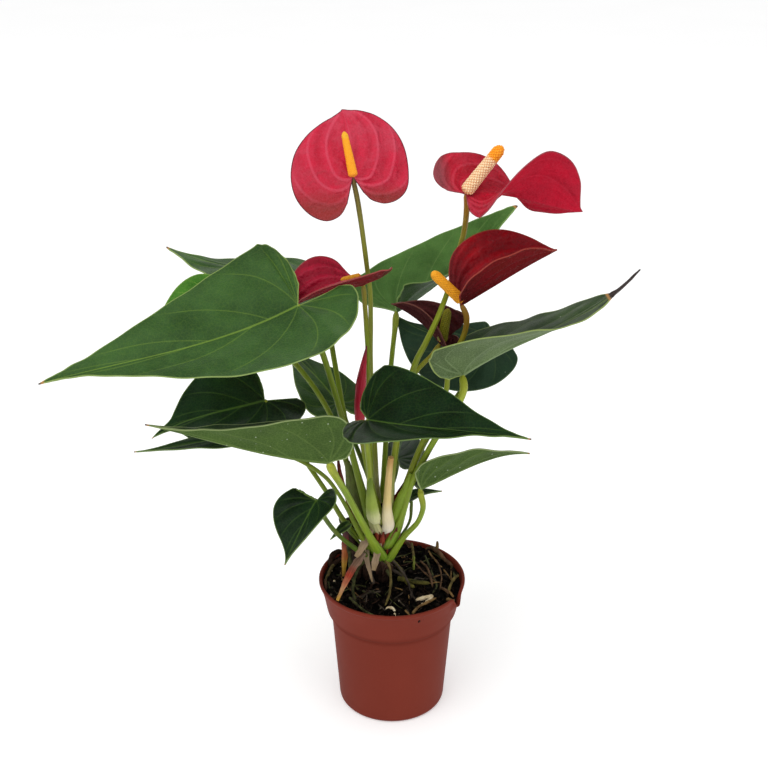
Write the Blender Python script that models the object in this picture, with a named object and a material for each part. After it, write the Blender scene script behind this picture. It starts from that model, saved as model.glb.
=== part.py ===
"""Potted anthurium in a thin nursery pot, at real size.

Values are in millimetres and are turned into metres where a mesh is made. +Z is up, -Y is the
side that the photograph shows, and the origin is the centre of the pot's base.
"""
import math

import bmesh
import bpy
import numpy as np

MM = 0.001
# Air left between pieces that touch on the real plant
GAP = 0.3

# Pot
POT_HEIGHT = 100.0
POT_RIM_RADIUS = 52.5
POT_BASE_RADIUS = 38.6
POT_COLLAR_TOP_RADIUS = 51.4
POT_COLLAR_FOOT_RADIUS = 47.0
POT_COLLAR_FOOT_HEIGHT = 76.5
POT_BODY_TOP_RADIUS = 43.6
POT_BODY_TOP_HEIGHT = 71.0
POT_WALL = 1.5
POT_LIP = 2.0
POT_FLOOR = 2.0
POT_SIDES = 48
TEAR_ANGLE = -24.0
TEAR_HALF_WIDTH = 11.0
TEAR_DEPTH = 9.0
TEAR_REACH = 14.0
DRAIN_RADIUS = 4.0
DRAIN_CIRCLE = 24.0
DRAIN_COUNT = 6
DRAIN_SIDES = 12

# Soil and crown
SOIL_EDGE_HEIGHT = 95.6
SOIL_CROWN_HEIGHT = 97.0
SOIL_RISE = (-1.0, 2.2)
SOIL_MOUND_FLAT = 12.0
SOIL_MOUND_REACH = 34.0
SOIL_RINGS = 8
CROWN_AXIS = (-7.0, 1.0)
CROWN_PROFILE = ((97.4, 5.0), (104.0, 6.0), (115.0, 5.6), (122.0, 6.8), (131.0, 6.2), (141.0, 5.4),
                 (150.0, 4.2), (157.0, 2.6))
CROWN_SIDES = 12

# Blades: thickness, and lines to the margin and steps along each of them
MIDRIB_THICKNESS = 1.3
LEAF_MARGIN_THICKNESS = 0.6
SPATHE_MARGIN_THICKNESS = 0.7
LEAF_GRID = (12, 4)
SMALL_LEAF_GRID = (9, 3)
SMALL_LEAF_LENGTH = 60.0
SPATHE_GRID = (14, 4)

# Outlines of half a blade, from the tip to the back lobe: share of the length, share of the half width
LEAF = ((1.0, 0.0), (0.955, 0.022), (0.90, 0.055), (0.80, 0.15), (0.65, 0.36), (0.48, 0.62),
        (0.30, 0.85), (0.12, 0.985), (-0.04, 0.97), (-0.17, 0.82), (-0.255, 0.58), (-0.27, 0.34),
        (-0.22, 0.16))
ABRUPT = ((1.0, 0.0), (0.94, 0.02), (0.87, 0.05), (0.80, 0.10), (0.74, 0.25), (0.65, 0.55),
          (0.50, 0.82), (0.32, 0.96), (0.12, 1.0), (-0.04, 0.93), (-0.17, 0.78), (-0.25, 0.56),
          (-0.27, 0.34), (-0.22, 0.16))
TAILED = ((1.0, 0.0), (0.95, 0.015), (0.89, 0.02), (0.83, 0.04), (0.80, 0.10), (0.70, 0.27),
          (0.56, 0.46), (0.42, 0.64), (0.28, 0.83), (0.12, 0.98), (-0.03, 0.97), (-0.15, 0.82),
          (-0.235, 0.58), (-0.25, 0.34), (-0.20, 0.16))
BLUNT = ((1.0, 0.0), (0.955, 0.022), (0.90, 0.055), (0.80, 0.15), (0.65, 0.40), (0.48, 0.70),
         (0.32, 0.92), (0.18, 1.0), (0.07, 0.90), (0.01, 0.66), (-0.02, 0.38), (-0.02, 0.16))
SPATHE = ((1.0, 0.0), (0.965, 0.05), (0.92, 0.17), (0.84, 0.40), (0.68, 0.68), (0.45, 0.89),
          (0.20, 0.985), (-0.08, 1.0), (-0.32, 0.90), (-0.50, 0.68), (-0.57, 0.42), (-0.50, 0.20),
          (-0.34, 0.08))
FLAP = ((1.0, 0.0), (0.965, 0.05), (0.92, 0.2), (0.84, 0.5), (0.68, 0.85), (0.5, 1.0), (0.35, 0.93),
        (0.22, 0.72), (0.12, 0.62), (0.04, 0.55), (-0.03, 0.36), (-0.05, 0.2), (-0.03, 0.08))
HOOD = ((1.0, 0.0), (0.96, 0.06), (0.90, 0.20), (0.80, 0.45), (0.65, 0.75), (0.50, 0.92), (0.35, 1.0),
        (0.20, 0.97), (0.08, 0.85), (0.0, 0.60), (-0.03, 0.35), (-0.03, 0.15))

# Leaf blades: where the midrib starts and ends, then how the blade is bent (see Blade).
# Pairs are left half, right half, seen from the stalk with the face up.
LEAVES = {
    "01": dict(base=(-59, -35, 318), tip=(-211, -85, 286), roll=-26, arch=(-4, 7), sweep=(-11, 8),
               width=0.28, fold=(8, 16), tip_fold=(2, 12), curl=(8, -14), lobes=(25, -15),
               back=(0.77, 0.2), wide=(1.08, 1.2), full=(0.8, 1.25), skew=(0, 0.26)),
    "02": dict(base=(-50, 70, 299), tip=(-159, 75, 323), roll=-14, arch=(6, -12), sweep=(-10, 6),
               width=0.28, fold=(8, -8), back=(0.8, 0.8), full=(1.4, 1), wide=(1.5, 1)),
    "03": dict(base=(-112, 14, 300), tip=(-154, -4, 298), roll=-37, arch=(10, 10), width=0.58,
               fold=(5, 5), back=(0.7, 0), full=(1.6, 1.5), wide=(0.92, 1), skew=(0, -0.24)),
    "04": dict(base=(46, -15, 263), tip=(164, 20, 324), arch=(11, -26), sweep=(12, 8), width=0.27,
               fold=(8, 66), tip_fold=(-4, -16), curl=(-2, -11), back=(0.1, 0.3), lobes=(0, -5),
               wide=(1, 1.14), full=(1.38, 0.85), skew=(-0.25, 0.2), outline=TAILED),
    "05": dict(base=(-16, -60, 251), tip=(85, -75, 245), roll=18, arch=(4, 10), sweep=(8, -8),
               width=0.37, fold=(18, 20), tip_fold=(18, 40), back=(0.3, 0.35), wide=(1.1, 0.95)),
    "06": dict(base=(-39, 45, 216), tip=(-80, 95, 240), arch=(10, 5), width=0.34, fold=(5, 5),
               back=(0.8, 0.8), wide=(1.15, 1)),
    "07": dict(base=(65, 40, 267), tip=(2, 72, 274), roll=-50, arch=(10, 5), sweep=(-25, 23), width=0.58,
               fold=(5, 5), back=(1.3, 0.2), full=(1.27, 1), wide=(0.93, 0.3), skew=(-0.22, 0.2)),
    "08": dict(base=(-41, -55, 219), tip=(-152, -75, 255), roll=-5, arch=(-8, 0), width=0.32,
               fold=(80, 12), tip_fold=(60, 10), back=(0.4, 0.5), full=(0.85, 1)),
    "09": dict(base=(-86, 0, 238), tip=(-162, -12, 215), roll=-30, arch=(18, 26), sweep=(-10, 0),
               width=0.46, fold=(-30, 15), curl=(-50, 0), back=(1.2, 0.1), wide=(0.7, 0.95),
               full=(1, 1.2), outline=ABRUPT, skew=(0, 0.1)),
    "10": dict(base=(-94, -33, 227), tip=(-167, -46, 222), roll=-14, arch=(6, -4), width=0.22,
               fold=(5, 5), wide=(0.6, 0.65)),
    "11": dict(base=(19, -10, 176), tip=(96, 10, 193), arch=(6, 24), width=0.30, fold=(2, 74),
               tip_fold=(0, 46), wide=(0.9, 1), back=(0.1, 0.2), full=(1, 1.3), outline=(LEAF, BLUNT)),
    "12": dict(base=(14, 20, 152), tip=(36, 22, 157), arch=(15, 15), width=0.36, fold=(15, 15)),
    "13": dict(base=(-50, -45, 186), tip=(-71, -62, 147), roll=-18, arch=(10, 5), width=0.48,
               fold=(25, 5), back=(0.8, 0.0), wide=(0.8, 1.08), skew=(0.2, -0.5)),
    "14": dict(base=(-32, -14, 149), tip=(-43, -19, 141), roll=-10, arch=(10, 5), width=0.30,
               fold=(8, 8)),
    "15": dict(base=(4, 38, 175), tip=(12, 98, 174), arch=(8, 5), width=0.34, fold=(5, 5),
               back=(0.3, 0.8), wide=(0.55, 0.95)),
    "16": dict(base=(3, 55, 282), tip=(90, 100, 346), roll=22, arch=(-18, -8), width=0.36,
               fold=(10, 72), tip_fold=(10, 20), full=(1.75, 1), back=(0.5, 0.1), wide=(0.97, 0.8)),
}

SPATHES = {
    "1": dict(base=(-25, -10, 393), tip=(-32, 12, 430), arch=(20, 20), sweep=(6, -6), width=0.87,
              curl=(-15, -15), back=(1.08, 0.62), full=(1, 1.5), wide=(0.98, 0.97)),
    "2": dict(base=(46, 0, 380), tip=(119, -5, 370), roll=36, arch=(8, 11), sweep=(-15, -11), width=0.48,
              fold=(13, 0), tip_fold=(7, 34), curl=(22, -4), twist=(-88, 0, 0.62), back=(0.46, 0.1),
              lobes=(30, 75), wide=(0.77, 1.06), full=(1.08, 1.1), skew=(0.45, -0.18),
              outline=(SPATHE, FLAP)),
    "3": dict(base=(44, -10, 310), tip=(106, 5, 342), roll=5, arch=(0, 4), width=0.50, fold=(52, 50),
              curl=(-10, 0), back=(0.3, 0.15), skew=(-0.15, -0.1), outline=HOOD),
    "4": dict(base=(-19, -8, 323), tip=(-72, -18, 307), roll=-14, arch=(18, 6), sweep=(-12, -17),
              width=0.42, fold=(44, -10), tip_fold=(30, 88), curl=(0, 16), back=(0.5, 0.2),
              lobes=(20, 30), wide=(1, 1.05), full=(1.6, 0.75), skew=(0.5, -0.2), outline=(SPATHE, HOOD)),
    "5": dict(base=(32, 6, 277), tip=(-1, 11, 303), width=0.55, fold=(23, 66), tip_fold=(70, 60),
              full=(1, 0.7), back=(0.3, 0.8), lobes=(0, 80), wide=(0.7, 1.1), skew=(0, 0.45)),
}

# Stalks: points from the crown to the blade, then the radius at the foot and at the blade
LEAF_STALKS = {
    "01": ([(-12, -4, 142), (-22, -9, 187), (-33, -15, 234), (-45, -24, 283), (-55, -32, 308)], 3.0,
           2.0),
    "02": ([(-14, 7, 139), (-25, 14, 176), (-32, 24, 206), (-40, 44, 244), (-46, 60, 276)], 2.8, 1.9),
    "03": ([(-14, 2, 133), (-28, 3, 180), (-42, 6, 225), (-64, 12, 258), (-90, 17, 282)], 2.6, 1.8),
    "04": ([(-1, -4, 131), (5, -5, 150), (12, -6, 177), (20, -8, 196), (31, -11, 219), (45, -22, 249)],
           3.1, 2.1),
    "05": ([(-8, -7, 142), (-13, -16, 172), (-14, -27, 198), (-16, -42, 224), (-17, -55, 241)], 2.8,
           1.9),
    "06": ([(-12, 8, 145), (-17, 18, 167), (-28, 32, 193), (-35, 42, 208)], 2.4, 1.7),
    "07": ([(0, 5, 137), (9, 13, 165), (24, 20, 199), (44, 28, 226), (60, 36, 251)], 2.9, 1.9),
    "08": ([(-9, -7, 122), (-21, -24, 158), (-31, -41, 190), (-38, -51, 209)], 2.9, 2.3),
    "09": ([(-15, -2, 127), (-31, -5, 143), (-46, -6, 172), (-59, -4, 193), (-71, 2, 212),
           (-80, 6, 226)], 2.1, 1.6),
    "10": ([(-13, -5, 122), (-22, -13, 141), (-32, -18, 167), (-44, -24, 191), (-61, -31, 208),
           (-79, -34, 217)], 2.0, 1.4),
    "11": ([(-2, -5, 118), (8, -9, 138), (17, -11, 150), (21, -12, 162), (20, -11, 170)], 2.4, 1.8),
    "12": ([(0, 4, 118), (7, 12, 126), (13, 18, 135), (14, 20, 146)], 1.5, 1.0),
    "13": ([(-14, -6, 116), (-27, -17, 133), (-39, -31, 154), (-47, -41, 174)], 2.2, 1.6),
    "14": ([(-14, -2, 118), (-22, -8, 131), (-29, -13, 143)], 1.3, 0.9),
    "15": ([(-4, 8, 144), (-2, 18, 156), (2, 31, 164)], 2.2, 1.6),
    "16": ([(-8, 8, 150), (-7, 22, 168), (-4, 38, 206), (-1, 48, 243), (2, 54, 270)], 2.6, 1.8),
}

FLOWER_STALKS = {
    "1": ([(-9, 1, 152), (-11, 2, 202), (-13, 3, 238), (-14, 4, 275), (-14, 4, 308), (-17, -1, 337),
          (-21, -7, 370)], 2.6, 1.6),
    "2": ([(-4, 0, 152), (0, -4, 201), (12, -10, 264), (22, -15, 289), (31, -10, 308), (38, 6, 322),
          (42, 15, 334), (46, 18, 348), (47, 8, 366)], 2.6, 1.8),
    "3": ([(-2, 1, 146), (8, -2, 176), (20, -5, 211), (33, -5, 241), (36, -4, 254), (37, -5, 267),
          (45, -6, 283), (48, -9, 299)], 2.6, 1.8),
    "4": ([(-10, -3, 150), (-13, -5, 205), (-15, -2, 240), (-16, -2, 276), (-18, -6, 309)], 2.4, 1.6),
    "5": ([(-4, 5, 150), (0, 6, 197), (7, 5, 236), (15, 5, 256), (26, 6, 268)], 2.3, 1.6),
}

BUD_STALK = ([(-10, -6, 148), (-17, -10, 190), (-21, -12, 222)], 2.4, 2.2)
CUT_STUB = ([(-7, -7, 143), (-5, -12, 165), (-1, -16, 203)], 4.2, 1.9)
FREE_TOPS = ("bud_stalk", "cut_stub")
STALK_RINGS = 12
STALK_SIDES = 6
SHEATH_SHARE = 0.4
SPREAD_ROUNDS = 260

# Spadices: where the axis starts and ends, and the radius near the foot and near the tip
SPADICES = {
    "1": ((-25, -13.4, 396.6), (-30, -8, 420), 2.9, 1.9),
    "2": ((46.8, -1.8, 383.4), (67, -2, 410), 4.1, 3.4),
    "3": ((42.6, -10.9, 314.3), (25, -15, 333), 3.4, 3.0),
    "4": ((-23.4, -8.8, 328.2), (-33, -9, 326), 1.8, 1.5),
    "5": ((33, 1, 282.5), (36, 0, 303), 3.4, 2.6),
}
SPADIX_SIDES = 10
SPADIX_RINGS = 9

# Rolled bud: where it starts and ends, its radius, and its girth from foot to tip as shares
BUD = ((-22, -12, 223), (-17, -12, 282), 4.6)
BUD_SHARES = (0, 0.08, 0.3, 0.6, 0.9, 1)
BUD_GIRTH = (0.55, 0.8, 1.0, 0.8, 0.3, 0.08)
BUD_BOW = (-1.5, 0, 0)
BUD_SIDES = 8
BUD_RINGS = 9

# Bracts and roots: points along the middle, then width and thickness, or radius
BRACTS = {
    "1": ([(-32, -1, 137), (-33, 0, 126), (-34, 1, 113), (-35, 2, 97.2)], 6.0, 0.8),
    "2": ([(-19, -17, 129), (-26, -23, 123), (-32, -29, 114), (-38, -34, 101.2)], 5.5, 0.8),
}
ROOTS = {
    "1": ([(4, -3, 99.6), (10, -5, 99.4), (18, -7, 99), (27, -7, 98)], 2.0),
    "2": ([(-4, -6, 109), (-1, -10, 104), (-1, -15, 99.6), (-5, -21, 97.0)], 1.1),
    "3": ([(-12.6, -3.6, 110), (-15, -9, 107), (-13, -14, 102)], 1.6),
}
STRAP_STEPS = 10
ROOT_STEPS = 10
ROOT_SIDES = 6

COLOURS = {
    "pot_plastic": ((0.26, 0.048, 0.032), 0.62),
    "potting_soil": ((0.014, 0.009, 0.006), 0.95),
    "crown_skin": ((0.10, 0.05, 0.03), 0.8),
    "leaf_mid": ((0.045, 0.085, 0.028), 0.35),
    "leaf_dark": ((0.010, 0.030, 0.010), 0.3),
    "leaf_bright": ((0.07, 0.15, 0.02), 0.35),
    "stalk_green": ((0.16, 0.20, 0.03), 0.45),
    "sheath_tan": ((0.45, 0.30, 0.14), 0.7),
    "spathe_red": ((0.38, 0.008, 0.03), 0.3),
    "spathe_maroon": ((0.10, 0.008, 0.012), 0.35),
    "spadix_yellow": ((0.75, 0.33, 0.03), 0.6),
    "bract_red": ((0.25, 0.06, 0.04), 0.6),
    "root_olive": ((0.20, 0.17, 0.09), 0.8),
}

LEAF_LOOKS = {"03": "leaf_bright", "01": "leaf_mid", "04": "leaf_mid", "08": "leaf_mid", "11": "leaf_mid",
              "16": "leaf_mid"}
SPATHE_LOOKS = {"5": "spathe_maroon"}


def unit(vector):
    """The vector at length 1."""
    vector = np.asarray(vector, float)
    return vector / np.linalg.norm(vector)


def turned(vector, axis, degrees):
    """The vector turned about the axis by the right-hand rule."""
    angle = math.radians(degrees)
    axis = unit(axis)
    along = axis * (axis @ vector) * (1 - math.cos(angle))
    return vector * math.cos(angle) + np.cross(axis, vector) * math.sin(angle) + along


def smooth(points, share):
    """Points on a smooth curve through the given ones, at shares from 0 to 1."""
    p = np.asarray(points, float)
    p = np.vstack([2 * p[0] - p[1], p, 2 * p[-1] - p[-2]])
    x = np.clip(np.asarray(share, float), 0, 1) * (len(p) - 3)
    i = np.minimum(x.astype(int), len(p) - 4)
    f = (x - i)[:, None]
    a, b, c, d = p[i], p[i + 1], p[i + 2], p[i + 3]
    return 0.5 * (2 * b + (c - a) * f + (2 * a - 5 * b + 4 * c - d) * f**2 + (3 * b - a - 3 * c + d) * f**3)


def blend(pair, right):
    """The left or right value of a pair, point by point."""
    return np.where(right, pair[1], pair[0])


class Blade:
    """A leaf blade or spathe: a midrib curve with a folded, curled half on each side of it.

    arch bends the midrib up and over at its two ends and sweep bends it sideways, in degrees.
    width is the half width as a share of the midrib, and wide scales it for each half.
    fold lifts each half from the midrib, tip_fold does so at the tip, and curl rolls it further.
    lobes lifts the back lobes, back scales their length, skew draws a half back from the tip and
    full makes its outline fuller. twist is an angle and the shares of the length it acts between.
    """

    SAMPLES = 200
    # Handles of the midrib's curve, the part of the length that the back lobes take up, and how the
    # lines to the margin lean: the midrib is left at RIB_RATE and RIB_POWER of the way round the outline
    REACH = 0.36
    LOBE_SHARE = 0.27
    RIB_RATE = 1.55
    RIB_POWER = 1.15

    def __init__(self, base, tip, roll=0, arch=(15, 20), sweep=(0, 0), width=0.35, wide=(1, 1), back=(1, 1),
                 fold=(0, 0), tip_fold=None, curl=(0, 0), lobes=(0, 0), twist=(0, 0, 1), outline=LEAF,
                 full=(1, 1), skew=(0, 0)):
        self.base = np.array(base, float)
        self.tip = np.array(tip, float)
        self.fold = fold
        self.tip_fold = tip_fold or fold
        self.curl = curl
        self.lobes = lobes
        self.twist = twist
        self.wide = wide
        self.back = back
        self.full = full
        self.skew = skew
        self.outlines = outline if len(outline) == 2 else (outline, outline)
        chord = unit(self.tip - self.base)
        up = np.array([0.0, 0.0, 1.0])
        normal = turned(unit(up - chord * (up @ chord)), chord, roll)
        side = np.cross(chord, normal)
        reach = self.REACH * np.linalg.norm(self.tip - self.base)
        start = turned(turned(chord, side, arch[0]), normal, -sweep[0])
        end = turned(turned(chord, side, -arch[1]), normal, -sweep[1])
        self.lay_midrib(self.base + start * reach, self.tip - end * reach, normal)
        self.half = width * self.length

    def lay_midrib(self, near, far, normal):
        """Midrib as a Bezier curve, with a normal carried along it."""
        s = np.linspace(0, 1, self.SAMPLES)[:, None]
        curve = (1 - s)**3 * self.base + 3 * (1 - s)**2 * s * near
        curve = curve + 3 * (1 - s) * s**2 * far + s**3 * self.tip
        steps = np.linalg.norm(np.diff(curve, axis=0), axis=1)
        walked = np.concatenate([[0], np.cumsum(steps)])
        self.length = walked[-1]
        tangents = np.gradient(curve, axis=0)
        tangents /= np.linalg.norm(tangents, axis=1)[:, None]
        normals = []
        for tangent in tangents:
            normal = unit(normal - tangent * (normal @ tangent))
            normals.append(normal)
        self.walked = walked / self.length
        self.rows = (curve, tangents, np.array(normals))

    def frame(self, along):
        """Point, tangent, normal and right-hand side on the midrib."""
        a = np.clip(along, 0, 1)
        found = []
        for rows in self.rows:
            found.append(np.stack([np.interp(a, self.walked, rows[:, k]) for k in range(3)], -1))
        point, tangent, normal = found
        tangent /= np.linalg.norm(tangent, axis=1)[:, None]
        side = np.cross(tangent, normal)
        side /= np.linalg.norm(side, axis=1)[:, None]
        normal = np.cross(side, tangent)
        angle, first, last = self.twist
        share = np.clip((along - first) / (last - first), 0, 1)
        turn = np.radians(angle) * (share * share * (3 - 2 * share))[:, None]
        normal = normal * np.cos(turn) + side * np.sin(turn)
        return point, tangent, normal, np.cross(tangent, normal)

    def surface(self, along, across):
        """Points of the sheet. across is a share of the half width, + on the right and - on the left."""
        right = across >= 0
        x = np.abs(across) * blend(self.wide, right) * self.half
        along = along - blend(self.skew, right) * x / self.length
        point, tangent, normal, side = self.frame(along)
        run = np.maximum(-along, 0) * self.length * blend(self.back, right)
        rate = np.radians(blend(self.lobes, right)) / (self.LOBE_SHARE * self.length) + 1e-9
        lift = (run * rate)[:, None]
        rate = rate[:, None]
        point = point - tangent * np.sin(lift) / rate + normal * (1 - np.cos(lift)) / rate
        normal = normal * np.cos(lift) + tangent * np.sin(lift)
        share = np.clip(along, 0, 1)
        fold = np.radians(blend(self.fold, right) * (1 - share) + blend(self.tip_fold, right) * share)
        bend = np.radians(blend(self.curl, right)) / self.half + 1e-9
        out = (np.sin(fold + bend * x) - np.sin(fold)) / bend
        lifted = (np.cos(fold) - np.cos(fold + bend * x)) / bend
        return point + side * (np.where(right, 1, -1) * out)[:, None] + normal * lifted[:, None]

    def half_lines(self, right, lines, steps):
        """Lines from the midrib to the margin on one side: along and across, one row a line."""
        t = np.linspace(0, 1, lines + 1)
        margin = smooth(self.outlines[1 if right else 0], t)
        rib = np.clip(1 - self.RIB_RATE * t, 0, 1)**self.RIB_POWER
        s = np.linspace(0, 1, steps + 1)
        along = rib[:, None] * (1 - s) + margin[:, :1] * s
        full = self.full[1 if right else 0]
        across = np.maximum(margin[:, 1:], 0)**(1 / full) * s
        return along, across if right else -across

    def sheet(self, lines, steps):
        """Points, shares and triangles or quads of the whole sheet, faces towards its normal."""
        where = {}
        shares = []
        faces = []

        def index(right, i, j, along, across):
            key = (right, i, j)
            if j == 0:
                key = ("rib", round(float(along), 6))
            if i == 0:
                key = ("tip",)
            if key not in where:
                where[key] = len(shares)
                shares.append((along, across))
            return where[key]

        for right in (False, True):
            a, c = self.half_lines(right, lines, steps)
            for i in range(lines):
                for j in range(steps):
                    corners = ((i, j), (i, j + 1), (i + 1, j + 1), (i + 1, j))
                    loop = []
                    for row, step in corners:
                        k = index(right, row, step, a[row, step], c[row, step])
                        if k not in loop:
                            loop.append(k)
                    if len(loop) > 2:
                        faces.append(loop if not right else loop[::-1])
        shares = np.array(shares)
        tiny = np.where(shares[:, 1] == 0, 1e-12, 0)
        return self.surface(shares[:, 0], shares[:, 1] + tiny), shares, faces


def sheet_normals(points, faces):
    """Normal of the sheet at each point."""
    normals = np.zeros_like(points)
    for face in faces:
        for k in range(1, len(face) - 1):
            a, b, c = points[face[0]], points[face[k]], points[face[k + 1]]
            normals[face] += np.cross(b - a, c - a)
    return normals / np.linalg.norm(normals, axis=1)[:, None]


def thicken(points, faces, thickness):
    """A closed solid around a sheet: its two sides and a rim along its open edges."""
    normals = sheet_normals(points, faces)
    count = len(points)
    half = (np.asarray(thickness) / 2)[:, None] * normals
    both = np.vstack([points + half, points - half])
    solid = [list(face) for face in faces]
    solid += [[k + count for k in face[::-1]] for face in faces]
    edges = set()
    for face in faces:
        for a, b in zip(face, face[1:] + face[:1]):
            edges.add((a, b))
    for a, b in sorted(edges):
        if (b, a) not in edges:
            solid.append([b, a, a + count, b + count])
    return both, solid


def closest(a0, a1, b0, b1):
    """Shares along segments a and b of their closest points, row by row."""
    u, v, w = a1 - a0, b1 - b0, a0 - b0
    uu = (u * u).sum(1) + 1e-12
    uv = (u * v).sum(1)
    vv = (v * v).sum(1) + 1e-12
    uw = (u * w).sum(1)
    vw = (v * w).sum(1)
    s = np.clip((uv * vw - vv * uw) / np.maximum(uu * vv - uv * uv, 1e-9), 0, 1)
    t = np.clip((uv * s + vw) / vv, 0, 1)
    return np.clip((uv * t - uw) / uu, 0, 1), t


def crown_radius(height):
    """Radius of the crown stem at a height."""
    profile = np.array(CROWN_PROFILE)
    return np.interp(height, profile[:, 0], profile[:, 1])


def spread_stalks(stalks):
    """Stalk centre lines pushed apart until all keep their gap, each foot staying at the crown.

    stalks maps a name to its points and its radii. The upper ends stay where they are.
    """
    names = list(stalks)
    lines = np.array([stalks[name][0] for name in names])
    radii = np.array([stalks[name][1] for name in names])
    first = lines.copy()
    count = lines.shape[1]
    who, seg = np.divmod(np.arange(len(names) * (count - 1)), count - 1)
    i, j = np.triu_indices(len(who), 1)
    keep = who[i] != who[j]
    i, j = i[keep], j[keep]
    thick = np.maximum(radii[:, :-1], radii[:, 1:])[who, seg]
    free = np.ones(count)
    free[-2:] = 0
    axis = np.array([*CROWN_AXIS, 0.0])
    for _ in range(SPREAD_ROUNDS):
        a0, a1 = lines[who[i], seg[i]], lines[who[i], seg[i] + 1]
        b0, b1 = lines[who[j], seg[j]], lines[who[j], seg[j] + 1]
        s, t = closest(a0, a1, b0, b1)
        apart = a0 + (a1 - a0) * s[:, None] - b0 - (b1 - b0) * t[:, None]
        far = np.linalg.norm(apart, axis=1)
        need = thick[i] + thick[j] + 1.4 * GAP
        bad = far < need
        if bad.any():
            push = apart[bad] / (far[bad] + 1e-9)[:, None] * ((need - far)[bad] * 0.5)[:, None]
            for k, share, sign in ((i, s, 1), (j, t, -1)):
                rows, cols, part = who[k[bad]], seg[k[bad]], share[bad][:, None]
                np.add.at(lines, (rows, cols), sign * push * (1 - part) * 0.7)
                np.add.at(lines, (rows, cols + 1), sign * push * part * 0.7)
        from_axis = lines - axis
        from_axis[:, :, 2] = 0
        flat = np.linalg.norm(from_axis, axis=2)
        least = crown_radius(lines[:, :, 2]) + radii + GAP
        rise = lines[:, 1] - lines[:, 0]
        upright = rise[:, 2] / np.linalg.norm(rise, axis=1)
        least[:, 0] -= radii[:, 0] * (1 - upright)
        inside = (flat < least) & (lines[:, :, 2] < CROWN_PROFILE[-1][0])
        inside[:, 0] = True
        lines += from_axis * (inside * (least / (flat + 1e-9) - 1))[:, :, None]
        moved = lines - first
        middle = moved[:, 1:-1]
        even = 0.5 * (moved[:, :-2] + moved[:, 2:])
        moved[:, 1:-1] = middle + 0.10 * (even - middle)
        moved[:, 0, 2] *= 0.9
        lines = first + moved * free[None, :, None]
    return dict(zip(names, lines))


def stalk_line(points, end, foot_radius, top_radius):
    """Centre points and radii of a stalk: close rings at the foot, a thick foot and a swollen top."""
    share = np.linspace(0, 1, STALK_RINGS)**1.15
    line = smooth([*points, end], share)
    sheath = np.clip(1 - share / SHEATH_SHARE, 0, 1)**1.3
    radii = top_radius + (foot_radius - top_radius) * sheath
    radii[-2] *= 1.08
    return line, radii


def stalk_end(blade, points, radius):
    """Where a stalk stops under its blade: as near the sheet as its flat end can come."""
    steps = np.linspace(-0.12, 0.16, 15), np.linspace(-0.35, 0.35, 16)
    along, across = (grid.ravel() for grid in np.meshgrid(*steps))
    sheet = blade.surface(along, across)
    heading = unit(blade.base - np.array(points[-1], float))
    clear = MIDRIB_THICKNESS / 2 + GAP
    for back in np.arange(clear, 8.0, 0.1):
        end = blade.base - heading * back
        beyond = (sheet - end) @ heading
        beside = np.linalg.norm(sheet - end - beyond[:, None] * heading, axis=1) - radius
        if np.hypot(np.maximum(beyond, 0), np.maximum(beside, 0)).min() >= clear:
            break
    return end


def tube(points, radii, sides):
    """Closed tube around a line, with flat ends."""
    p = np.asarray(points, float)
    tangents = np.gradient(p, axis=0)
    tangents /= np.linalg.norm(tangents, axis=1)[:, None]
    normal = np.cross(tangents[0], (0.1, 1.0, 0.05))
    angles = np.arange(sides) * 2 * math.pi / sides
    rings = []
    for point, tangent, radius in zip(p, tangents, radii):
        normal = unit(normal - tangent * (normal @ tangent))
        other = np.cross(tangent, normal)
        rings.append(point + radius * (np.cos(angles)[:, None] * normal + np.sin(angles)[:, None] * other))
    faces = []
    for i in range(len(p) - 1):
        for j in range(sides):
            k = (j + 1) % sides
            faces.append([i * sides + j, i * sides + k, (i + 1) * sides + k, (i + 1) * sides + j])
    last = (len(p) - 1) * sides
    faces.append(list(range(sides))[::-1])
    faces.append(list(range(last, last + sides)))
    return np.vstack(rings), faces


def lathe(profile, sides):
    """Closed solid turned about +Z. The profile runs from the axis, down the outside, to the axis."""
    points = []
    faces = []
    rings = []
    for radius, height in profile:
        if radius == 0:
            rings.append([len(points)] * sides)
            points.append((0.0, 0.0, height))
            continue
        rings.append(list(range(len(points), len(points) + sides)))
        for k in range(sides):
            angle = 2 * math.pi * k / sides
            points.append((radius * math.cos(angle), radius * math.sin(angle), height))
    for upper, lower in zip(rings, rings[1:]):
        for k in range(sides):
            n = (k + 1) % sides
            loop = []
            for corner in (upper[k], lower[k], lower[n], upper[n]):
                if corner not in loop:
                    loop.append(corner)
            faces.append(loop)
    return np.array(points), faces


def strap(points, width, thickness, steps=STRAP_STEPS):
    """Closed strip along a line, narrower to both ends and slightly dished across."""
    line = smooth(points, np.linspace(0, 1, steps))
    tangents = np.gradient(line, axis=0)
    tangents /= np.linalg.norm(tangents, axis=1)[:, None]
    across = np.cross(tangents, (0.0, -0.8, 0.6))
    across /= np.linalg.norm(across, axis=1)[:, None]
    taper = np.sin(np.linspace(0.35, math.pi - 0.25, steps))[:, None]
    half = across * taper * width / 2
    lift = np.cross(across, tangents) * taper * width * 0.12
    sheet = np.vstack([line + half, line - lift, line - half])
    faces = []
    for i in range(steps - 1):
        for row in (0, 1):
            a = row * steps + i
            faces.append([a, a + 1, a + steps + 1, a + steps])
    return thicken(sheet, faces, np.full(len(sheet), thickness))


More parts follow.
